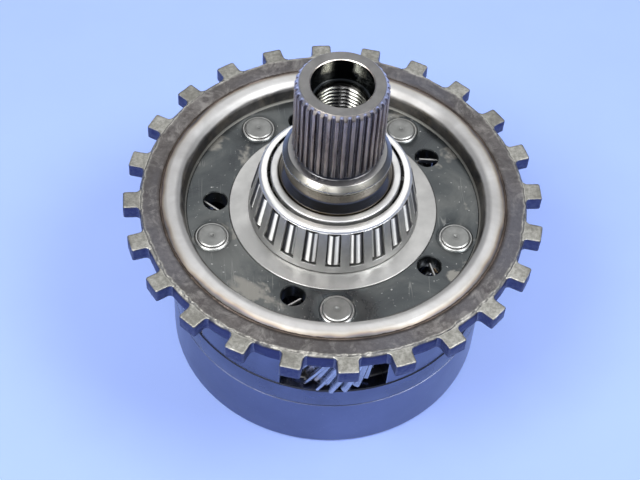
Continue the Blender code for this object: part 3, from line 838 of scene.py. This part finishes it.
def gear_outline(teeth, inset, flank_steps=6):
    """Outline of an external gear, with a radiused root and slightly rounded tips."""
    pitch_radius = teeth * MODULE / 2
    tip = pitch_radius + ADDENDUM - inset
    root = pitch_radius - DEDENDUM
    side = []
    for step in range(flank_steps + 1):
        radius = blend(root + 0.45, tip - 0.12, step / flank_steps)
        side.append((radius, tooth_half_angle(radius, teeth, FLANK_RELIEF + inset)))
    foot = side[0][1]
    side = [(root, foot + 0.42 / root), (root + 0.12, foot + 0.14 / root)] + side
    side.append((tip, side[-1][1] - 0.14 / tip))
    return repeat_tooth(teeth, side, tip + 0.02)


def block_outline(count, low, high, low_half, high_half, steps=3):
    """Outline of straight-sided teeth, their half angles in quarters of the pitch."""
    quarter = pi / (2 * count)
    side = []
    for step in range(steps + 1):
        share = step / steps
        side.append((blend(low, high, share), blend(low_half, high_half, share) * quarter))
    return repeat_tooth(count, side)


def helical_gear(name, teeth, hand, bore, bore_soft, twist_steps=14):
    """A helical gear with chamfered tooth ends round a bore."""
    shell = Shell()
    chamfer = 0.30
    full = gear_outline(teeth, 0.0)
    ends = gear_outline(teeth, chamfer)
    height = GEAR_HIGH - GEAR_LOW
    twist = hand * height * tan(HELIX_ANGLE) / (teeth * MODULE / 2)
    rings = [shell.ring(ends, GEAR_LOW)]
    for step in range(twist_steps + 1):
        z = blend(GEAR_LOW + chamfer, GEAR_HIGH - chamfer, step / twist_steps)
        rings.append(shell.ring(full, z, twist * (z - GEAR_LOW) / height))
    rings.append(shell.ring(ends, GEAR_HIGH, twist))
    shell.walls(rings)
    bores = shell.eased(bore_soft, bore, GEAR_LOW, GEAR_HIGH, chamfer)
    shell.cap(rings[0], bores[0])
    shell.cap(rings[-1], bores[-1])
    return shell.mesh(name)


# ---- carrier ------------------------------------------------------------------------------------

def joint_place(name):
    return [part / MM for part in JOINTS[name]["pos_m"]]


def planet_place(index):
    return joint_place("planet_%d_spin" % index)


def planet_angle(index):
    x, y, _ = planet_place(index)
    return atan2(y, x)


def build_wall():
    """Wall with five windows, posts between them and the crowned rim above, in one loop of sections."""
    crown = (WALL_INNER + RIM_RADIUS) / 2
    upper_wall = WALL_RADIUS - 0.5
    plate_edge = WALL_INNER - 1.4
    rim = rounded([
        (upper_wall, WINDOW_HIGH),
        (upper_wall, LUG_BOTTOM - GAP, 0.4),
        (RIM_RADIUS, LUG_BOTTOM - GAP, 0.2),
        (RIM_RADIUS, LUG_TOP + 0.2, 0.5),
        (crown + 2.2, RIM_TOP - 0.15, 3.0),
        (crown - 1.4, RIM_TOP - 0.1, 3.0),
        (WALL_INNER - 0.1, LUG_TOP - 1.4, 1.6),
        (WALL_INNER - 1.0, PLATE_TOP + 0.4, 0.5),
        (plate_edge, PLATE_TOP - 0.2),
        (plate_edge, WINDOW_HIGH),
    ])
    foot = rounded([
        (WALL_INNER, WINDOW_LOW),
        (WALL_INNER, DRUM_TOP + GAP, 0.3),
        (WALL_RADIUS, DRUM_TOP + GAP, 0.35),
        (WALL_RADIUS, WINDOW_LOW - 0.5, 0.15),
        (upper_wall, WINDOW_LOW),
    ])
    post = [(POST_INNER, WINDOW_HIGH), (POST_INNER, WINDOW_LOW)]
    window_steps, post_steps = 26, 22
    angles = []
    for index in PLANETS:
        start = planet_angle(index) - WINDOW_HALF_ANGLE
        end = start + 2 * WINDOW_HALF_ANGLE
        next_start = start + TURN / len(PLANETS)
        angles += stations(start, end, window_steps, True) + stations(end, next_start, post_steps, False)
    shell = Shell()

    def column(points, angle):
        return shell.ring([(*polar(radius, angle), z) for radius, z in points])

    def lines(i, window):
        """The upright lines of points that the wall's faces run between, at one angle."""
        rim_line, foot_line = rims[i], feet[i]
        ends = [rim_line[0], rim_line[-1]]
        if window:
            return [rim_line, foot_line, ends, [foot_line[0], foot_line[-1]]]
        return [rim_line, foot_line, [foot_line[-1], ends[0]], [ends[1], *posts[i], foot_line[0]]]

    rims = [column(rim, angle) for angle, _ in angles]
    feet = [column(foot, angle) for angle, _ in angles]
    posts = {}
    for i, (angle, window) in enumerate(angles):
        if not (window and angles[i - 1][1]):
            posts[i] = column(post, angle)
    for i, (_, window) in enumerate(angles):
        for here, there in zip(lines(i, window), lines((i + 1) % len(angles), window)):
            shell.wall(here, there, closed=False)
        if window != angles[i - 1][1]:
            shell.bm.faces.new((rims[i][0], rims[i][-1], *posts[i], feet[i][0], feet[i][-1]))
    mesh = shell.mesh("carrier_wall")
    face_finishes(mesh, (RIM_FINISH, WALL_FINISH), lambda centre, _: centre.z <= PLATE_TOP - 0.1)
    soften(piece("carrier_wall", mesh, None, "carrier_housing"), 0.35, 50.0)


def oil_hole_turn(index):
    return planet_angle(index) + OIL_HOLE_OFFSET


def build_plate():
    """Recessed plate with the pins' staked rings and the chamfered oil holes."""
    shell = Shell()
    edge = WALL_INNER - 1.2
    bore = FLANGE_RADIUS + 0.05
    pin_hole = PIN_RADIUS + 0.05
    tops = []
    bottoms = []

    def sides(steps, count, centre=(0.0, 0.0)):
        """Walls through (radius, height over the plate) steps and down to the plate's bottom."""
        rings = [shell.ring(circle(radius, count, centre), PLATE_TOP + height) for radius, height in steps]
        rings.append(shell.ring(circle(steps[-1][0], count, centre), PLATE_BOTTOM))
        shell.walls(rings)
        tops.append(rings[0])
        bottoms.append(rings[-1])

    # A shallow groove pressed round each pin, with a raised inner lip against the pin
    stake = [(2.3, 0.0), (1.9, -0.18), (1.35, -0.30), (0.9, -0.06), (0.55, 0.16), (0.2, 0.14), (0.0, -0.25)]
    sides([(edge - 0.6, 0.0), (edge, -0.5)], FINE)
    sides([(bore + 0.1, 0.0), (bore, -0.1)], FINE)
    places = [planet_place(index)[:2] for index in PLANETS]
    for index, place in enumerate(places, 1):
        sides([(pin_hole + out, up) for out, up in stake], COARSE, place)
        sides([(OIL_HOLE_RADIUS + 0.4, 0.0), (OIL_HOLE_RADIUS, -0.4)], COARSE,
              polar(OIL_HOLE_CIRCLE, oil_hole_turn(index)))
    shell.cap(*tops)
    shell.cap(*bottoms)
    mesh = shell.mesh("carrier_plate")

    def near_pin(centre, _):
        return min(hypot(centre.x - x, centre.y - y) for x, y in places) < PIN_RADIUS + 0.95

    face_finishes(mesh, (PLATE_FINISH, STAKE_FINISH), near_pin)
    piece("carrier_plate", mesh, None, "carrier_housing", sharp=30.0)


def build_hole_glints():
    """A painted highlight: a thin bright bar across each oil hole, off its centre and a little way down,
    standing in for the planet tooth that catches the light through the hole.
    """
    shell = Shell()
    ends = (-4.75, 2.9)
    offset = 1.43
    rows = [(-4.4, 0.4), (-2.7, 0.4), (-2.5, 0.2)]
    for index in PLANETS:
        turn = oil_hole_turn(index)
        middle = Vector((*polar(OIL_HOLE_CIRCLE, turn), PLATE_TOP))
        place = Matrix.Translation(middle) @ Matrix.Rotation(turn + GLINT_BAR_TURN, 4, "Z")
        rings = []
        for height, half in rows:
            corners = [(ends[0], -half), (ends[1], -half), (ends[1], half), (ends[0], half)]
            points = [place @ Vector((along, aside - offset, height)) for along, aside in corners]
            rings.append(shell.ring(points))
        shell.solid(rings)
    piece("oil_hole_painted_glints", shell.mesh("oil_hole_painted_glints"), STAKE_FINISH, "carrier_housing")


def build_end_plate():
    shell = Shell()
    chamfer = 0.4
    outlines = [((0.0, 0.0), WALL_INNER - GAP, -chamfer, FINE), ((0.0, 0.0), 40.0, chamfer, FINE)]
    for index in PLANETS:
        outlines.append((planet_place(index)[:2], PIN_RADIUS + 0.1, chamfer, COARSE))
    sides = []
    for centre, radius, out, count in outlines:
        sides.append(shell.eased(circle(radius + out, count, centre), circle(radius, count, centre),
                                 END_PLATE_LOW, END_PLATE_HIGH, chamfer))
    shell.cap(*[rings[0] for rings in sides])
    shell.cap(*[rings[-1] for rings in sides])
    piece("end_plate", shell.mesh("end_plate"), END_PLATE_FINISH, "carrier_end_plate")


def lug_outline(inset):
    """Outline of one lug along +X, from inside the ring's body out, drawn in by inset."""
    corner = 0.8
    fillet = 1.5
    steps = 5
    half = LUG_HALF_WIDTH - inset
    tip = LUG_TIP - inset
    side = [(LUG_ROOT - 2.6, half + fillet), (LUG_ROOT - 0.35, half + fillet)]
    for step in range(1, steps + 1):
        angle = pi / 2 * step / steps
        side.append((LUG_ROOT + fillet * (1 - cos(angle)) - 0.3 * (1 - sin(angle)),
                     half + fillet * (1 - sin(angle))))
    side.append(((LUG_ROOT + LUG_TIP) / 2, half))
    for step in range(steps + 1):
        x, y = polar(corner, pi / 2 * (1 - step / steps))
        side.append((tip - corner + x, half - corner + y))
    return [(x, -y) for x, y in side] + [(tip + 0.02, 0.0)] + side[::-1]


def add_lug(shell, index):
    """One rounded lug with slightly uneven faces."""
    turn = Matrix.Rotation(TURN * index / LUG_COUNT - pi / 2, 4, "Z")
    rows = [(0.7, LUG_BOTTOM, 0.0), (0.25, LUG_BOTTOM + 0.175, 0.0),
            (0.0, LUG_BOTTOM + 0.65, 1.0), (0.0, (LUG_BOTTOM + LUG_TOP) / 2, 1.0),
            (0.0, LUG_TOP - 0.6, 1.0), (0.175, LUG_TOP - 0.175, 1.0),
            (0.6, LUG_TOP - 0.03, 0.6), (1.3, LUG_TOP, 0.4)]
    rings = []
    for inset, height, rough in rows:
        points = []
        for x, y in lug_outline(inset):
            place = turn @ Vector((x, y, height))
            dent = min(0.0, 0.22 * rough * noise.noise(place * 0.24 + Vector((index, 0.0, 0.0))))
            outward = Vector((place.x, place.y, 0.0)).normalized()
            points.append(place + outward * dent + Vector((0.0, 0.0, 0.5 * dent)))
        rings.append(shell.ring(points))
    shell.solid(rings)


def crease_radius(angle):
    """Where the ring's raised body ends, wandering irregularly round the ring."""
    way = Vector((*polar(1.0, angle), 0.3))
    return LUG_ROOT - 0.9 + 0.75 * noise.noise(way * 9.0) + 0.55 * noise.noise(way * 34.0)


def ring_height(radius, angle):
    """Height of the ring's top, and how pale it is painted there: rubbed, with a painted highlight along the
    crease's ridge.
    """
    crease = crease_radius(angle)
    x, y = polar(radius, angle)

    def rough(level, scale):
        return noise.noise(Vector((x, y, level)) * scale)

    raised = smooth_step((crease + 0.35 - radius) / 0.7)
    ridge = exp(-((radius - crease + 0.35) / 0.42) ** 2) * (0.6 + 0.8 * rough(200.0, 0.13))
    bumps = (0.16 * rough(0.0, 0.17) + 0.08 * rough(100.0, 0.56)) * (0.4 + 0.6 * raised)
    groove = smooth_step((RIM_RADIUS + 2.0 - radius) / 1.6)
    height = LUG_TOP + 0.5 * raised + 0.32 * ridge + bumps - 0.45 * groove - 0.06
    return height, min(1.0, max(0.75 * (1 - raised), 1.3 * ridge))


def build_lug_ring():
    """Rough ring with an uneven top that ends in an irregular crease, and its separate-looking lugs."""
    shell = Shell()
    count = 1080
    top_rows = 26
    bore = RIM_RADIUS + GAP
    rings = []
    wear_and_highlight = []

    def add_side(radius, height, unevenness):
        def place(angle):
            wear_and_highlight.append(0.0)
            way = Vector((*polar(radius, angle), height))
            return radius + unevenness * noise.noise(way * 0.21), height
        rings.append(shell.shaped_ring(count, place))

    def add_top(radius, drop):
        def place(angle):
            height, wear_and_highlight_level = ring_height(radius, angle)
            wear_and_highlight.append(wear_and_highlight_level)
            return radius, height - drop
        rings.append(shell.shaped_ring(count, place))

    add_side(bore, LUG_BOTTOM, 0.0)
    add_side(LUG_ROOT - 0.5, LUG_BOTTOM, 0.0)
    for height in (LUG_BOTTOM + 0.5, LUG_BOTTOM + 2.4, LUG_TOP - 2.4, LUG_TOP - 0.7):
        add_side(LUG_ROOT, height, 0.20)
    for row in range(top_rows):
        add_top(blend(LUG_ROOT - 0.35, bore, row / (top_rows - 1)), 0.18 if row == 0 else 0.0)
    shell.walls(rings, closed=True)
    for index in range(LUG_COUNT):
        add_lug(shell, index)
    mesh = shell.mesh("lug_ring")
    kept = mesh.attributes.new("wear_and_highlight", "FLOAT", "POINT")
    kept.data.foreach_set("value", wear_and_highlight + [0.0] * (len(mesh.vertices) - len(wear_and_highlight)))
    face_finishes(mesh, (FORGED_FINISH, LUG_FINISH), lambda _, first: first >= len(wear_and_highlight))
    piece("lug_ring", mesh, None, "parking_lug_ring", sharp=48.0)


def build_weld():
    """The bead that joins the lug ring to the rim."""
    shell = Shell()
    around_count = 8
    rings = []
    for step in range(around_count):
        out, up = polar(1.0, TURN * step / around_count)

        def place(angle):
            ripple = 1 + 0.10 * sin(angle * 170) + 0.40 * noise.noise(Vector((*polar(1.0, angle), 0.0)) * 24)
            return RIM_RADIUS + 0.30 + 0.62 * ripple * out, LUG_TOP + 0.02 + 0.42 * ripple * up

        rings.append(shell.shaped_ring(720, place))
    shell.walls(rings, closed=True)
    weld = piece("weld_bead", shell.mesh("weld_bead"), WELD_FINISH, None, sharp=60.0)


def build_drum():
    """Smooth drum with internal teeth."""
    pitch_radius = ANNULUS_TEETH * MODULE / 2
    shell = Shell()
    teeth = block_outline(ANNULUS_TEETH, pitch_radius + 1.7, pitch_radius - 1.4, 1.5, 0.55, 5)
    soft = block_outline(ANNULUS_TEETH, pitch_radius + 1.9, pitch_radius - 1.1, 1.4, 0.45, 5)
    outside = shell.lathe(rounded([
        (WALL_RADIUS - 1.2, 0.0),
        (WALL_RADIUS, 1.2, 1.4),
        (WALL_RADIUS, DRUM_TOP - 0.1),
        (WALL_RADIUS - 0.25, DRUM_TOP),
    ], steps=6), VERY_FINE, closed=False)
    inside = shell.eased(soft, teeth, 0.0, DRUM_TOP, 0.5)
    shell.cap(outside[0], inside[0])
    shell.cap(outside[-1], inside[-1])
    piece("drum", shell.mesh("drum"), DRUM_FINISH, "annulus_drum")


# ---- planets and sun ----------------------------------------------------------------------------

def needle_mesh():
    """Needle rollers between two end rings."""
    shell = Shell()
    low, high = GEAR_LOW + GAP, GEAR_HIGH - GAP
    inner, outer = PIN_RADIUS + GAP, NEEDLE_OUTER
    size = (outer - inner) / 2
    count = 15
    for start, end in ((low, low + 1.4), (high - 1.4, high)):
        shell.lathe(rounded(ring_section(inner + 0.4, outer - 0.4, start, end, 0.2)), COARSE)
    ends = [(0.55, 1.5), (0.9, 1.62), (1.0, 1.9)]
    profile = [(share, low + z) for share, z in ends] + [(share, high - z) for share, z in reversed(ends)]
    for i in range(count):
        centre = polar((inner + outer) / 2, TURN * i / count)
        shell.solid([shell.ring(circle(size * share, SMALL, centre), z) for share, z in profile])
    return shell.mesh("needles")


def solid_mesh(name, profile):
    """A turned solid with flat ends."""
    shell = Shell()
    rings = [shell.ring(circle(radius, COARSE), height) for radius, height in profile]
    shell.solid(rings)
    return shell.mesh(name)


def pin_mesh():
    """Planet pin with an eased head and a shallow dished end."""
    return solid_mesh("pin", rounded([
        (0.6, PIN_LOW + 0.5),
        (PIN_RADIUS - 0.5, PIN_LOW, 0.2),
        (PIN_RADIUS, PIN_LOW + 0.5, 0.3),
        (PIN_RADIUS, PIN_TOP - 0.35, 0.35),
        (PIN_RADIUS - 0.7, PIN_TOP, 0.4),
        (0.9, PIN_TOP - 0.04, 0.1),
        (0.3, PIN_TOP - 0.30),
    ]))


def washer_mesh(node):
    shell = Shell()
    shell.lathe(rounded(ring_section(PIN_RADIUS + GAP, WASHER_RADIUS, *heights(node), 0.25)), COARSE)
    return shell.mesh("washer")


def build_planets():
    gear = helical_gear("planet", PLANET_TEETH, 1, circle(PLANET_BORE, MEDIUM),
                        circle(PLANET_BORE + 0.3, MEDIUM))
    needles = needle_mesh()
    fixed = [("pin_", pin_mesh(), PIN_FINISH, "planet_pin_"),
             ("washer_upper_", washer_mesh("planet_washer_upper_1"), WASHER_FINISH, "planet_washer_upper_"),
             ("washer_lower_", washer_mesh("planet_washer_lower_1"), WASHER_FINISH, "planet_washer_lower_")]
    for index in PLANETS:
        label = str(index)
        at = moved(*planet_place(index)[:2], 0.0)
        in_mesh = planet_angle(index) * (1 + SUN_TEETH / PLANET_TEETH) + pi + pi / PLANET_TEETH
        turned = at @ Matrix.Rotation(in_mesh, 4, "Z")
        piece("planet_" + label, gear, GEAR_FINISH, "planet_gear_" + label, "planet_" + label, turned)
        piece("needles_" + label, needles, NEEDLE_FINISH, "planet_needle_bearing_" + label,
              "needles_" + label, at)
        for name, mesh, finish, node in fixed:
            piece(name + label, mesh, finish, node + label, matrix=at)


def build_sun():
    splines = 24
    bore = block_outline(splines, 26.2, 24.8, 1.3, 0.7)
    bore_soft = block_outline(splines, 26.5, 25.1, 1.25, 0.65)
    piece("sun", helical_gear("sun", SUN_TEETH, -1, bore, bore_soft), GEAR_FINISH, "sun_gear", "sun")
    turned_piece("sun_washer", ring_section(25.5, 33.5, *heights("sun_thrust_washer"), 0.25),
                 WASHER_FINISH, "sun_thrust_washer", MEDIUM)


# ---- shaft --------------------------------------------------------------------------------------

def spline_radius(angle):
    """Radius of the splined section at an angle: straight flanks with eased crests and roots."""
    phase = (angle * SPLINE_COUNT / TURN) % 1.0
    offset = abs(phase - round(phase))
    return blend(SPLINE_ROOT, SPLINE_TIP, smooth_step((0.33 - offset) / 0.155))


def spline_rings(shell):
    """Rings of the splines, from their lower ends up to the chamfer at the shaft's end."""
    chamfer = 2.1
    chamfer_steps = 7
    steps_per_spline = 20
    rows = [(SPLINE_LOW, NECK_RADIUS), (SPLINE_LOW + 0.15, NECK_RADIUS + 0.5),
            (SPLINE_LOW + 1.2, SPLINE_TIP), (SPLINE_LOW + 1.5, SPLINE_TIP),
            (SHAFT_TOP - chamfer - 0.3, SPLINE_TIP)]
    for step in range(chamfer_steps + 1):
        share = step / chamfer_steps
        rows.append((SHAFT_TOP - 0.12 - chamfer * (1 - share),
                     blend(SPLINE_TIP, END_FACE_RADIUS + 0.12, share)))
    rows.append((SHAFT_TOP, END_FACE_RADIUS))
    rings = []
    for height, limit in rows:
        def place(angle):
            return min(spline_radius(angle), limit), height

        rings.append(shell.shaped_ring(SPLINE_COUNT * steps_per_spline, place))
    return shell.walls(rings)


def thread_rings(shell, high, low):
    """The threaded wall, as a helical ridge on a fine grid."""
    rows_per_turn = 10
    rows = int((high - low) / THREAD_PITCH * rows_per_turn)
    rings = []
    for row in range(rows + 1):
        height = blend(high, low, row / rows)
        ease = smooth_step(min(high - height, height - low) / (0.8 * THREAD_PITCH))

        def place(angle):
            phase = (height / THREAD_PITCH - angle / TURN) % 1.0
            crest = min(1.0, max(0.0, 1.25 - 2.5 * abs(phase - 0.5)))
            return blend(THREAD_MAJOR, THREAD_MINOR, crest * ease), height

        rings.append(shell.shaped_ring(MEDIUM, place))
    return shell.walls(rings)


def shaft_finish(centre, _):
    """The number of a face's finish: 0 turned, 1 splined, 2 bore."""
    if centre.xy.length < COUNTERBORE_RADIUS + 0.3 and centre.z > SHAFT_LOW + 0.1:
        return 2
    return centre.z > SPLINE_LOW - 0.01


def build_shaft():
    """Turned shaft, its splines, its counterbore and its threaded bore."""
    shell = Shell()
    body = shell.lathe(rounded([
        (THREAD_MAJOR, SHAFT_LOW),
        (FLANGE_RADIUS, SHAFT_LOW, 0.3),
        (FLANGE_RADIUS, FLANGE_TOP - 0.1, 0.45),
        (33.0, FLANGE_TOP, 0.2),
        (SEAT_RADIUS, FLANGE_TOP, 0.3),
        (SEAT_RADIUS, SEAT_TOP - 0.2, 1.2),
        (WAIST_RADIUS + 0.2, SEAT_TOP + 3.6, 3.5),
        (WAIST_RADIUS, COLLAR_LOW - 2.4, 3.0),
        (COLLAR_RADIUS, COLLAR_LOW - 0.1, 0.3),
        (COLLAR_RADIUS, COLLAR_HIGH, 0.45),
        (19.8, LUG_TOP + 29.7, 0.6),
        (17.2, LUG_TOP + 30.1, 0.5),
        (NECK_RADIUS, SPLINE_LOW - 0.9, 0.3),
        (NECK_RADIUS, SPLINE_LOW),
    ], steps=6), FINE, closed=False)
    splines = spline_rings(shell)
    shell.cap(body[-1], splines[0])
    mouth = shell.lathe([
        (COUNTERBORE_RADIUS + 0.5, SHAFT_TOP),
        (COUNTERBORE_RADIUS + 0.12, SHAFT_TOP - 0.3),
        (COUNTERBORE_RADIUS, SHAFT_TOP - 0.7),
        (COUNTERBORE_RADIUS, COUNTERBORE_FLOOR + 0.8),
        (COUNTERBORE_RADIUS - 0.3, COUNTERBORE_FLOOR + 0.2),
        (COUNTERBORE_RADIUS - 0.7, COUNTERBORE_FLOOR),
        (THREAD_MAJOR + 0.2, COUNTERBORE_FLOOR - 0.1),
    ], MEDIUM, closed=False)
    shell.cap(splines[-1], mouth[0])
    bore = thread_rings(shell, COUNTERBORE_FLOOR - 0.6, COUNTERBORE_FLOOR - THREAD_DEPTH)
    lower = shell.ring(circle(THREAD_MAJOR, MEDIUM), SHAFT_LOW + 0.5)
    shell.wall(mouth[-1], bore[0])
    shell.wall(bore[-1], lower)
    bmesh.ops.bridge_loops(shell.bm, edges=shell.loop(lower) + shell.loop(body[0]))
    mesh = shell.mesh("shaft")
    face_finishes(mesh, (SHAFT_FINISH, SPLINE_FINISH, BORE_FINISH), shaft_finish)
    drill_shaft(piece("shaft", mesh, None, "output_shaft", sharp=32.0))


def drill_shaft(shaft):
    """Cut the radial oil drilling out of the shaft's wall."""
    ends = (8.0, 24.0)                          # in the open bore and outside the shaft
    shell = Shell()
    shell.solid([shell.ring(circle(OIL_DRILLING_RADIUS, 2 * SMALL), end) for end in ends])
    drill = add_object("drill", shell.mesh("drill"))
    drill.data.materials.append(BORE_FINISH)
    turn = Matrix.Rotation(OIL_DRILLING_TURN, 4, "Z") @ Matrix.Rotation(pi / 2, 4, "Y")
    drill.matrix_world = moved(0.0, 0.0, OIL_DRILLING_HEIGHT) @ turn
    modifier = shaft.modifiers.new("oil_drilling", "BOOLEAN")
    modifier.operation = "DIFFERENCE"
    modifier.object = drill
    bpy.context.view_layer.update()
    graph = bpy.context.evaluated_depsgraph_get()
    cut = bpy.data.meshes.new_from_object(shaft.evaluated_get(graph), depsgraph=graph)
    shaft.modifiers.clear()
    shaft.data = cut
    bpy.data.objects.remove(drill, do_unlink=True)


# ---- bearing ------------------------------------------------------------------------------------

def cone_radius(height, angle):
    return (APEX_HEIGHT - height) * tan(angle)


def build_race():
    """Inner race: its track clears the rollers, between a low rib and a stepped top."""
    track = ROLLER_ANGLE - ROLLER_HALF_ANGLE
    low = LUG_TOP - 3.5
    high = LUG_TOP + 13.2
    rib = 31.6
    step = 26.4
    turned_piece("race", [
        (RACE_BORE, RACE_LOW, 0.6),
        (rib, RACE_LOW, 0.6),
        (rib, low, 0.5),
        (cone_radius(low, track) - GAP, low, 0.3),
        (cone_radius(high, track) - GAP, high, 0.3),
        (step, high, 0.3),
        (step, RACE_TOP, 0.5),
        (RACE_BORE, RACE_TOP, 0.9),
    ], RACE_FINISH, "bearing_inner_race")


def cage_rows():
    """The (radius, height) rows of the cage's outer skin, and those of its inner one."""
    def radius(height):
        return (APEX_HEIGHT - height) * CAGE_SLOPE

    fold = 1.3
    outer = [(radius(CAGE_LOW), CAGE_LOW)]
    for step in range(5):
        z = blend(POCKET_LOW, POCKET_HIGH, step / 4)
        outer.append((radius(z), z))
    for step in range(7):
        x, y = polar(fold, pi / 2 * step / 6)
        outer.append((radius(CAGE_TOP) + 0.1 - fold + x, CAGE_TOP - 0.12 - fold + y))
    outer += [(CAGE_LIP + 0.3, CAGE_TOP), (CAGE_LIP, CAGE_TOP - 0.2)]
    inner = [(outer[0][0] - CAGE_SHEET, CAGE_LOW)]
    for i in range(1, len(outer)):
        before = Vector(outer[i - 1])
        after = Vector(outer[min(i + 1, len(outer) - 1)])
        along = (after - before).normalized() * CAGE_SHEET
        inner.append((outer[i][0] - along.y, outer[i][1] + along.x))
    return outer, inner


def build_cage():
    """Pressed cage: bottom band, bars between the pockets and a folded bright lip."""
    x, y, _ = joint_place("roller_01_spin")
    reach = POCKET_HALF_WIDTH / ((APEX_HEIGHT - (POCKET_LOW + POCKET_HIGH) / 2) * CAGE_SLOPE)
    pitch = TURN / ROLLER_COUNT
    pocket_steps, bar_steps = 4, 3
    angles = []
    for roller in range(ROLLER_COUNT):
        start = atan2(y, x) + pitch * roller - reach
        end = start + 2 * reach
        angles += stations(start, end, pocket_steps, True)
        angles += stations(end, start + pitch, bar_steps, False)
    pocket_low, pocket_high = 1, 5              # the rows at a pocket's ends
    shell = Shell()
    skins = []
    for rows in cage_rows():
        skins.append([shell.ring([polar(radius, angle) for angle, _ in angles], z) for radius, z in rows])
    outside, inside = skins
    for i, (_, is_open) in enumerate(angles):
        j = (i + 1) % len(angles)
        for skin in skins:
            for k in range(len(skin) - 1):
                if not (is_open and pocket_low <= k < pocket_high):
                    shell.wall([skin[k][i], skin[k + 1][i]], [skin[k][j], skin[k + 1][j]], closed=False)
        if is_open:
            for k in (pocket_low, pocket_high):
                shell.wall([outside[k][i], inside[k][i]], [outside[k][j], inside[k][j]], closed=False)
        if is_open != angles[i - 1][1]:
            columns = [[skin[k][i] for k in range(pocket_low, pocket_high + 1)] for skin in skins]
            shell.wall(*columns, closed=False)
    shell.wall(outside[0], inside[0])
    shell.wall(outside[-1], inside[-1])
    cage = piece("cage", shell.mesh("cage"), CAGE_FINISH, "bearing_cage", "cage", sharp=50.0)
    soften(cage, 0.16, 60.0)


def build_rollers():
    """Tapered rollers with radiused ends."""
    half = (ROLLER_HIGH - ROLLER_LOW) / cos(ROLLER_ANGLE) / 2
    reach = (APEX_HEIGHT - (ROLLER_LOW + ROLLER_HIGH) / 2) / cos(ROLLER_ANGLE)
    big = (reach + half) * tan(ROLLER_HALF_ANGLE)
    small = (reach - half) * tan(ROLLER_HALF_ANGLE)
    mesh = solid_mesh("roller", rounded([
        (0.4, -half + 0.25),
        (big * 0.45, -half + 0.2, 0.1),
        (big * 0.55, -half, 0.1),
        (big, -half, 0.45),
        (small, half, 0.45),
        (0.4, half),
    ]))
    for roller in range(1, ROLLER_COUNT + 1):
        label = "%02d" % roller
        x, y, z = joint_place("roller_%s_spin" % label)
        turn = Matrix.Rotation(atan2(y, x), 4, "Z") @ Matrix.Rotation(-ROLLER_ANGLE, 4, "Y")
        piece("roller_" + label, mesh, ROLLER_FINISH, "bearing_roller_" + label, "roller_" + label,
              moved(x, y, z) @ turn)


# ---- stage --------------------------------------------------------------------------------------

def build_floor():
    """A large plain pale-blue floor, with a faint glow of its own that keeps it even far out."""
    finish = Finish("floor")
    finish.shade(finish.noise(30.0, 3.0), (0.240, 0.330, 0.66), (0.248, 0.341, 0.68))
    finish.put(finish.shader["Emission Color"], (0.335, 0.46, 0.93, 1.0))
    finish.put(finish.shader["Emission Strength"], 0.34)
    material = finish.done(0.75, metallic=0.0)
    size = 30000.0
    shell = Shell()
    ring = shell.ring([(-size, -size), (size, -size), (size, size), (-size, size)], 0.0)
    shell.bm.faces.new(ring)
    floor = add_object("floor", shell.mesh("floor"))
    floor.data.materials.append(material)


def area_light(name, place, size, power, colour):
    data = bpy.data.lights.new(name, "AREA")
    data.shape = "RECTANGLE"
    data.size, data.size_y = size
    data.energy = power
    data.color = colour
    light = add_object(name, data)
    light.location = place
    light.rotation_euler = (Vector((0.0, 0.0, 0.08)) - Vector(place)).to_track_quat("-Z", "Y").to_euler()


def build_lights():
    """Four soft lights in a plain studio that is blue towards the floor and grey overhead."""
    area_light("key", (-0.46, -0.30, 0.84), (0.42, 0.42), 7.0, (1.0, 0.99, 0.97))
    area_light("fill", (0.44, -0.20, 0.84), (0.36, 0.36), 5.5, (0.98, 0.99, 1.0))
    area_light("back", (0.10, 0.70, 0.98), (1.20, 0.80), 3.8, (1.0, 1.0, 1.0))
    area_light("front", (-0.10, -0.56, 0.84), (0.16, 0.16), 1.2, (1.0, 1.0, 1.0))
    world = bpy.data.worlds.new("studio")
    world.use_nodes = True
    nodes, links = world.node_tree.nodes, world.node_tree.links
    background = nodes["Background"]
    place = nodes.new("ShaderNodeTexCoord")
    split = nodes.new("ShaderNodeSeparateXYZ")
    ramp = nodes.new("ShaderNodeValToRGB")
    fill_ramp(ramp.color_ramp, [(0.0, (0.50, 0.66, 1.0)), (0.06, (0.16, 0.19, 0.29)),
                                (0.30, (0.11, 0.115, 0.13)), (1.0, (0.50, 0.52, 0.56))])
    links.new(place.outputs["Generated"], split.inputs[0])
    links.new(split.outputs["Z"], ramp.inputs[0])
    links.new(ramp.outputs["Color"], background.inputs["Color"])
    background.inputs["Strength"].default_value = 0.7
    bpy.context.scene.world = world


def build_camera():
    """The photograph's view: from above and in front, rolled slightly."""
    elevation = radians(52.47)
    heading = radians(-6.67)
    roll = radians(-4.03)
    turn = Matrix.Rotation(heading, 3, "Z")
    back = turn @ Vector((0.0, -cos(elevation), sin(elevation)))
    right = turn @ Vector((1.0, 0.0, 0.0))
    up = back.cross(right)
    centre = Vector((0.0, 0.0, LUG_TOP)) + LUG_TIP * (right * -0.051 + up * -0.217 + back * 7.212)
    across = right * cos(roll) - up * sin(roll)
    upward = right * sin(roll) + up * cos(roll)
    data = bpy.data.cameras.new("camera")
    data.sensor_width = 36.0
    data.lens = 85.1456
    data.clip_start = 0.01
    camera = add_object("camera", data)
    camera.matrix_world = moved(*centre) @ Matrix((across, upward, back)).transposed().to_4x4()
    bpy.context.scene.camera = camera


build_wall()
build_plate()
build_hole_glints()
build_end_plate()
build_lug_ring()
build_weld()
build_drum()
build_planets()
build_sun()
build_shaft()
build_race()
build_cage()
build_rollers()
build_floor()
build_lights()
build_camera()
bpy.context.scene.view_settings.view_transform = "Standard"
